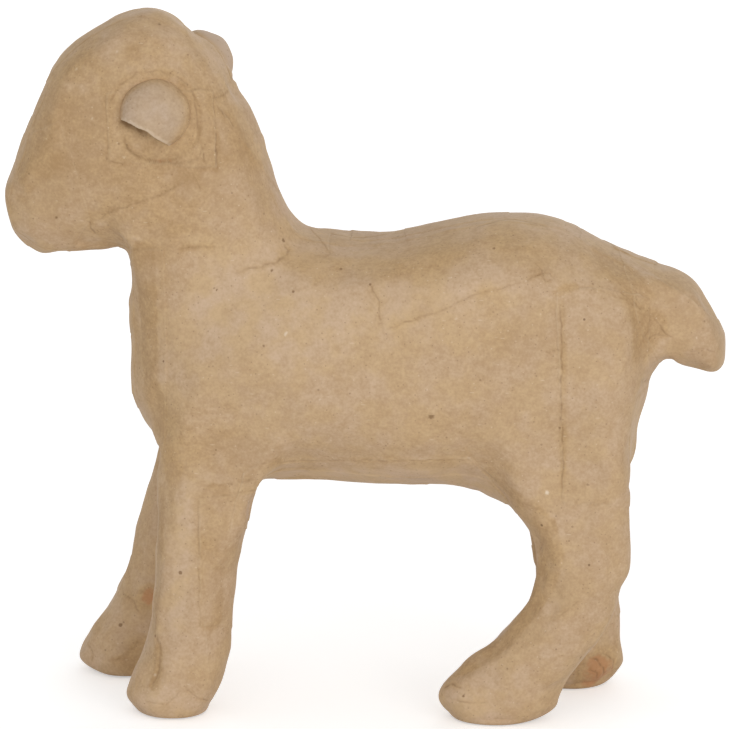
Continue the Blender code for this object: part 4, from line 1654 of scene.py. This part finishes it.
@dataclass(frozen=True)
class Skin:
    """The kraft facing over the whole figure, in the CAD's sheets.

    Attributes:
        form: The form it follows.
        relief: Its details.
        levels: How often the form is subdivided.
        splits: How many cuts a face gets beside a fold or an edge.
        split_reach: How near that is.
        thickness: How thick the facing is.
        box_margin: How near the form's box the paper starts to be eased back.
        sole_blend: How high above the floor the details have their full height.
        sharp_angle: Degrees between faces from which their edge is drawn sharp.
    """

    form: Form
    relief: Relief
    levels: int = 4
    splits: int = 2
    split_reach: float = 0.8
    thickness: float = 0.9
    box_margin: float = 0.5
    sole_blend: float = 1.5
    sharp_angle: float = 62.0
    attributes = ("line", "rub_and_highlight", "tone", "soak_and_shade")

    @staticmethod
    def surface(bm: bmesh.types.BMesh, tree: BVHTree) -> Surface:
        """The vertices of a mesh as a surface for the details."""
        bm.normal_update()
        points = np.array([v.co[:] for v in bm.verts])
        normals = np.array([v.normal[:] for v in bm.verts])
        return Surface(points, normals, tree)

    def refine(self, bm: bmesh.types.BMesh, tree: BVHTree) -> None:
        """Splits the faces beside folds and edges."""
        marks = self.relief.marks(self.surface(bm, tree))
        close = marks.reach < self.split_reach
        bm.verts.index_update()
        edges = [e for e in bm.edges if any(close[v.index] for v in e.verts)]
        bmesh.ops.subdivide_edges(bm, edges=edges, cuts=self.splits, use_grid_fill=True)
        large = [f for f in bm.faces if len(f.verts) > 4]
        bmesh.ops.triangulate(bm, faces=large)

    def boxed(self, places: np.ndarray, limits: np.ndarray) -> np.ndarray:
        """Places eased back where they would leave the form's box.

        Args:
            places: The places.
            limits: The box's half length, half width and height.

        Returns:
            The eased places.
        """
        start = limits - self.box_margin
        over = np.maximum(np.abs(places) - start, 0.0)
        eased = start + self.box_margin * (1.0 - np.exp(-over / self.box_margin))
        return np.where(over > 0.0, np.sign(places) * eased, places)

    def shape(self, bm: bmesh.types.BMesh, tree: BVHTree) -> None:
        """Moves the vertices by the details and keeps what the finish needs on them."""
        surface = self.surface(bm, tree)
        marks = self.relief.marks(surface)
        height = marks.height + self.relief.uneven(surface)
        height *= smoothstep(surface.points[:, 2] / self.sole_blend)
        places = surface.points + surface.normals * height[:, None]
        places = self.boxed(places, np.array(CAD_BOX[1]) / MM)
        places[:, 2] = np.maximum(places[:, 2], 0.0)
        for vert, place in zip(bm.verts, places.tolist()):
            vert.co = place
        for name in self.attributes:
            layer = bm.verts.layers.float.new(name)
            for vert, value in zip(bm.verts, getattr(marks, name).tolist()):
                vert[layer] = value

    def parted(
        self, bm: bmesh.types.BMesh, numbers: Sequence[int]
    ) -> Iterator[tuple[int, bmesh.types.BMesh]]:
        """Parts the skin into its sheets, by halves.

        Args:
            bm: The skin, or the sheets of it that are left; used up.
            numbers: Which sheets it has.

        Yields:
            Each sheet's number, and the sheet.
        """
        if len(numbers) == 1:
            yield numbers[0], bm
            return
        middle = len(numbers) // 2
        groups = (numbers[:middle], numbers[middle:])
        for part, group in zip((bm.copy(), bm), groups):
            layer = part.faces.layers.int["part"]
            others = [f for f in part.faces if f[layer] not in group]
            bmesh.ops.delete(part, geom=others, context="FACES")
            yield from self.parted(part, group)

    def piece(self, bm: bmesh.types.BMesh, name: str) -> bpy.types.Object:
        """One sheet of the skin as a thin solid, in metres."""
        bm.faces.layers.int.remove(bm.faces.layers.int["part"])
        thicken(bm, self.thickness)
        return solid(name, bm, self.sharp_angle)

    def build(self, material: bpy.types.Material) -> BVHTree:
        """Makes the skin's pieces.

        Args:
            material: Their finish.

        Returns:
            The face of the paper.
        """
        bm = self.form.smooth(self.levels)
        tree = BVHTree.FromBMesh(bm)
        self.refine(bm, tree)
        self.shape(bm, tree)
        face = BVHTree.FromBMesh(bm)
        names = self.form.names()
        for number, sheet in self.parted(bm, range(len(names))):
            piece = self.piece(sheet, f"{names[number]}_paper")
            finish_piece(piece, material, "kraft_paper", names[number])
        return face


@dataclass(frozen=True)
class ShellHalf:
    """One half of the moulded shell, under the skin.

    Attributes:
        name: The CAD node it stands for.
        side: -1 for the left half, 1 for the right.
        form: The form it follows.
        levels: How often the form is subdivided.
        depth: How far it lies inside the form.
        cover: How far it is eased to lie under the face of the paper.
        rounds: How often it is eased.
        wall: How thick it is.
        gap: Its distance from the other half.
        sharp_angle: Degrees between faces from which their edge is drawn sharp.
    """

    name: str
    side: int
    form: Form
    levels: int = 3
    depth: float = 4.0
    cover: float = 1.6
    rounds: int = 4
    wall: float = 2.0
    gap: float = 0.3
    sharp_angle: float = 40.0

    def build(self, material: bpy.types.Material, skin: BVHTree) -> None:
        """Makes the half shell.

        Args:
            material: Its finish.
            skin: The face of the paper over it.
        """
        bm = self.form.smooth(self.levels)
        bm.normal_update()
        for vert in bm.verts:
            vert.co -= vert.normal * self.depth
        cut_off(bm, (0.0, self.side * self.gap / 2.0, 0.0), (0.0, -self.side, 0.0))
        thicken(bm, self.wall)
        for _ in range(self.rounds):
            for vert in bm.verts:
                place, facing, _, _ = skin.find_nearest(vert.co)
                short = self.cover + (vert.co - place).dot(facing)
                vert.co -= facing * max(short, 0.0)
        obj = solid(f"{self.name}_pulp", bm, self.sharp_angle)
        finish_piece(obj, material, "moulded_paper", self.name)


@dataclass(frozen=True)
class EarHood:
    """A card ear: a round hood, open at its lower front.

    Attributes:
        name: The CAD node it stands for.
        side: -1 for the left ear, 1 for the right.
        x: Its middle in side view.
        z: Its middle's height.
        inside: How far its middle lies inside the widest part of the head.
        length: Its size along its mouth.
        width: Its size across that.
        stand: How far it stands out from its middle.
        mouth: How far below its middle it is cut off.
        turn: Degrees that the mouth is turned forward.
        swing: Degrees from the mouth's middle to the part of its edge that is lifted most.
        lift: Degrees that it is lifted off the head there.
        fullness: The power of its curve, above 2 for a flatter back.
        wall: The card's thickness.
        rim: The width of the pale edge round the mouth, a painted highlight on the rim.
        lumps: How uneven it is.
        paleness: How much lighter its paper is.
        fray: How uneven the edge of its mouth is.
        fray_reach: How far in from the mouth that is felt.
        fray_size: How wide a bump of it is along the mouth and across it.
    """

    name: str
    side: int
    x: float
    z: float
    inside: float
    length: float = 19.4
    width: float = 19.0
    stand: float = 6.0
    mouth: float = 6.2
    turn: float = 30.0
    swing: float = 35.0
    lift: float = 20.0
    fullness: float = 2.4
    wall: float = 0.9
    rim: float = 0.8
    lumps: float = 0.5
    paleness: float = 0.01
    fray: float = 0.6
    fray_reach: float = 2.5
    fray_size: Point = (3.5, 9.0)
    head_width = 21.0

    def hood(self) -> bmesh.types.BMesh:
        """The hood about its own middle, with its mouth cut off below and a pale rim."""
        bm = bmesh.new()
        upright = Matrix.Rotation(math.radians(90.0), 4, "X")
        bmesh.ops.create_uvsphere(bm, u_segments=64, v_segments=40, radius=1.0, matrix=upright)
        for vert in bm.verts:
            spread = min(math.hypot(vert.co.x, vert.co.z), 1.0)
            rise = (1.0 - spread**self.fullness) ** (1.0 / self.fullness)
            vert.co.y = math.copysign(rise, vert.co.y)
        half_sizes = Matrix.Diagonal((self.length / 2.0, self.stand, self.width / 2.0, 1.0))
        bmesh.ops.transform(bm, matrix=half_sizes, verts=bm.verts)
        cut_off(bm, (0.0, 0.0, -self.mouth), (0.0, 0.0, -1.0))
        # The mouth's rim gets a painted highlight, and the paper its paleness.
        rub_and_highlight, tone = (bm.verts.layers.float.new(key) for key in ("rub_and_highlight", "tone"))
        for vert in bm.verts:
            vert[rub_and_highlight] = 1.2 if vert.co.z < -self.mouth + self.rim else 0.0
            vert[tone] = self.paleness
        along, across = self.fray_size
        for vert in bm.verts:
            near_mouth = smoothstep((self.fray_reach - self.mouth - vert.co.z) / self.fray_reach)
            where = Vector((vert.co.x / along, vert.co.y / across, 2.0))
            vert.co.z += self.fray * near_mouth * noise.noise(where)
        return bm

    def placing(self) -> Matrix:
        """The turns and the move that bring the hood to its place on the head."""
        centre = Vector((self.x, self.side * (self.head_width - self.inside), self.z))
        turn, swing = (
            Matrix.Rotation(math.radians(angle), 4, "Y") for angle in (self.turn, self.swing)
        )
        lift = Matrix.Rotation(math.radians(self.lift * self.side), 4, "X")
        lift = swing @ lift @ swing.inverted()
        return Matrix.Translation(centre) @ turn @ lift

    def build(self, material: bpy.types.Material, tree: BVHTree) -> None:
        """Makes the ear.

        Args:
            material: Its finish.
            tree: The form of the head that it is glued to.
        """
        bm = self.hood()
        bmesh.ops.transform(bm, matrix=self.placing(), verts=bm.verts)
        bmesh.ops.recalc_face_normals(bm, faces=bm.faces)
        bm.normal_update()
        points = np.array([v.co[:] for v in bm.verts])
        uneven = cloud(points, 6.0, 6.1) * self.lumps + cloud(points, 2.2, 8.8) * 0.12
        # Where the ear meets the head: a dark glue line and ochre, partly painted shade.
        line, soak_and_shade = (bm.verts.layers.float.new(key) for key in ("line", "soak_and_shade"))
        for vert, height in zip(bm.verts, uneven.tolist()):
            vert.co += vert.normal * height
            gap = tree.find_nearest(vert.co)[3]
            patchy = 0.4 + 0.8 * noise.noise(vert.co / 3.0)
            vert[line] = 0.6 * max(patchy, 0.0) * math.exp(-((gap / 0.45) ** 2))
            vert[soak_and_shade] = 0.8 * math.exp(-((gap / 1.9) ** 2))
        thicken(bm, self.wall)
        obj = solid(f"{self.name}_hood", bm)
        rounding = obj.modifiers.new("Rounding", "SUBSURF")
        rounding.levels = rounding.render_levels = 1
        finish_piece(obj, material, "kraft_paper", self.name)


# The stage


@dataclass(frozen=True)
class Lamp:
    """A soft box.

    Attributes:
        name: Its name.
        place: Where it is, in metres.
        size: Its side, in metres.
        power: Its power in watts.
        target: What it points at.
    """

    name: str
    place: tuple[float, float, float]
    size: float
    power: float
    target: tuple[float, float, float] = (0.0, 0.0, 0.1)

    def build(self) -> None:
        """Makes the lamp."""
        data = bpy.data.lights.new(self.name, "AREA")
        data.size = self.size
        data.energy = self.power
        obj = bpy.data.objects.new(self.name, data)
        obj.location = self.place
        obj.rotation_mode = "QUATERNION"
        obj.rotation_quaternion = (Vector(self.place) - Vector(self.target)).to_track_quat("Z", "Y")
        bpy.context.scene.collection.objects.link(obj)


@dataclass(frozen=True)
class Studio:
    """A pale floor, white surroundings and soft light.

    Attributes:
        lamps: The soft boxes.
        horizon: How much light the surroundings give at the horizon.
        zenith: How much they give overhead.
        floor_size: The floor's side, in metres.
        floor_colour: Its colour.
        floor_lift: How much the camera sees it brightened.
    """

    lamps: tuple[Lamp, ...] = (
        Lamp("key", (1.1, -1.6, 0.35), 1.2, 14.3),
        Lamp("fill", (-0.5, -1.9, 0.3), 1.2, 6.7),
        Lamp("back", (0.3, 1.9, 0.9), 1.4, 6.0),
    )
    horizon: float = 0.75
    zenith: float = 0.58
    floor_size: float = 12.0
    floor_colour: Colour = (0.86, 0.86, 0.86)
    floor_lift: float = 0.43

    @staticmethod
    def seen(graph: Graph) -> Wire:
        """1 for what the camera sees, also in a reflection, and 0 for what gives light."""
        camera, glossy, through = (
            graph.node("ShaderNodeLightPath", {}, {}, f"Is {kind} Ray")
            for kind in ("Camera", "Glossy", "Transmission")
        )
        return camera.most(glossy.most(through))

    def world(self) -> None:
        """Makes the surroundings: white to the camera, and softer above than around as light."""
        world = bpy.data.worlds.new("studio")
        world.use_nodes = True
        graph = Graph("studio", world.node_tree, "ShaderNodeOutputWorld")
        direction = graph.node("ShaderNodeTexCoord", {}, {}, "Generated")
        rise = graph.node("ShaderNodeSeparateXYZ", {}, {"Vector": direction}, "Z")
        light = self.horizon + rise.step(0.0, 1.0) * (self.zenith - self.horizon)
        strength = light + self.seen(graph) * (1.0 - light)
        background = graph.node("ShaderNodeBackground", {}, {"Strength": strength})
        background.socket.node.inputs["Color"].default_value = (1.0, 1.0, 1.0, 1.0)
        graph.end(background)
        bpy.context.scene.world = world

    def floor(self) -> None:
        """Makes the floor, which is lifted to white for the camera but keeps its shadows."""
        bm = bmesh.new()
        bmesh.ops.create_grid(bm, x_segments=1, y_segments=1, size=self.floor_size / 2.0)
        obj = new_object("floor", bm)
        graph = Graph("floor")
        matt = graph.node(
            "ShaderNodeBsdfPrincipled", {},
            {"Base Color": (*self.floor_colour, 1.0), "Roughness": 0.9},
        )
        glow = graph.node("ShaderNodeEmission", {}, {"Strength": self.floor_lift})
        lift = graph.node("ShaderNodeMixShader", {}, {0: self.seen(graph), 2: glow})
        both = graph.node("ShaderNodeAddShader", {}, {0: matt, 1: lift})
        graph.end(both)
        obj.data.materials.append(graph.material)

    def build(self) -> None:
        """Makes the studio."""
        self.world()
        self.floor()
        for lamp in self.lamps:
            lamp.build()
        bpy.context.scene.view_settings.view_transform = "Standard"


def main() -> None:
    """Builds the goat, its camera and its studio."""
    logging.basicConfig(level=logging.INFO, format="%(message)s")
    CAMERA.build()
    form = Form()
    kraft = KraftPaper().material()
    # The ears' paper: a darker copy of the kraft paper, as painted shade on the ears.
    card = KraftPaper(
        "shaded_ear_paper",
        light=(0.533, 0.402, 0.295),
        honey=(0.531, 0.390, 0.262),
        dark=(0.387, 0.264, 0.158),
    ).material()
    pulp = MouldedPulp().material()
    skin = Skin(form, Relief()).build(kraft)
    for name, side in (("shell_left", -1), ("shell_right", 1)):
        ShellHalf(name, side, form).build(pulp, skin)
    smooth = form.smooth(ShellHalf.levels)
    tree = BVHTree.FromBMesh(smooth)
    smooth.free()
    EarHood("ear_left", -1, -55.8, 170.6, 3.5).build(card, tree)
    EarHood(
        "ear_right", 1, -47.4, 177.0, 3.5, length=18.4, lumps=0.8, paleness=0.14
    ).build(card, tree)
    Studio().build()


if __name__ == "__main__":
    main()
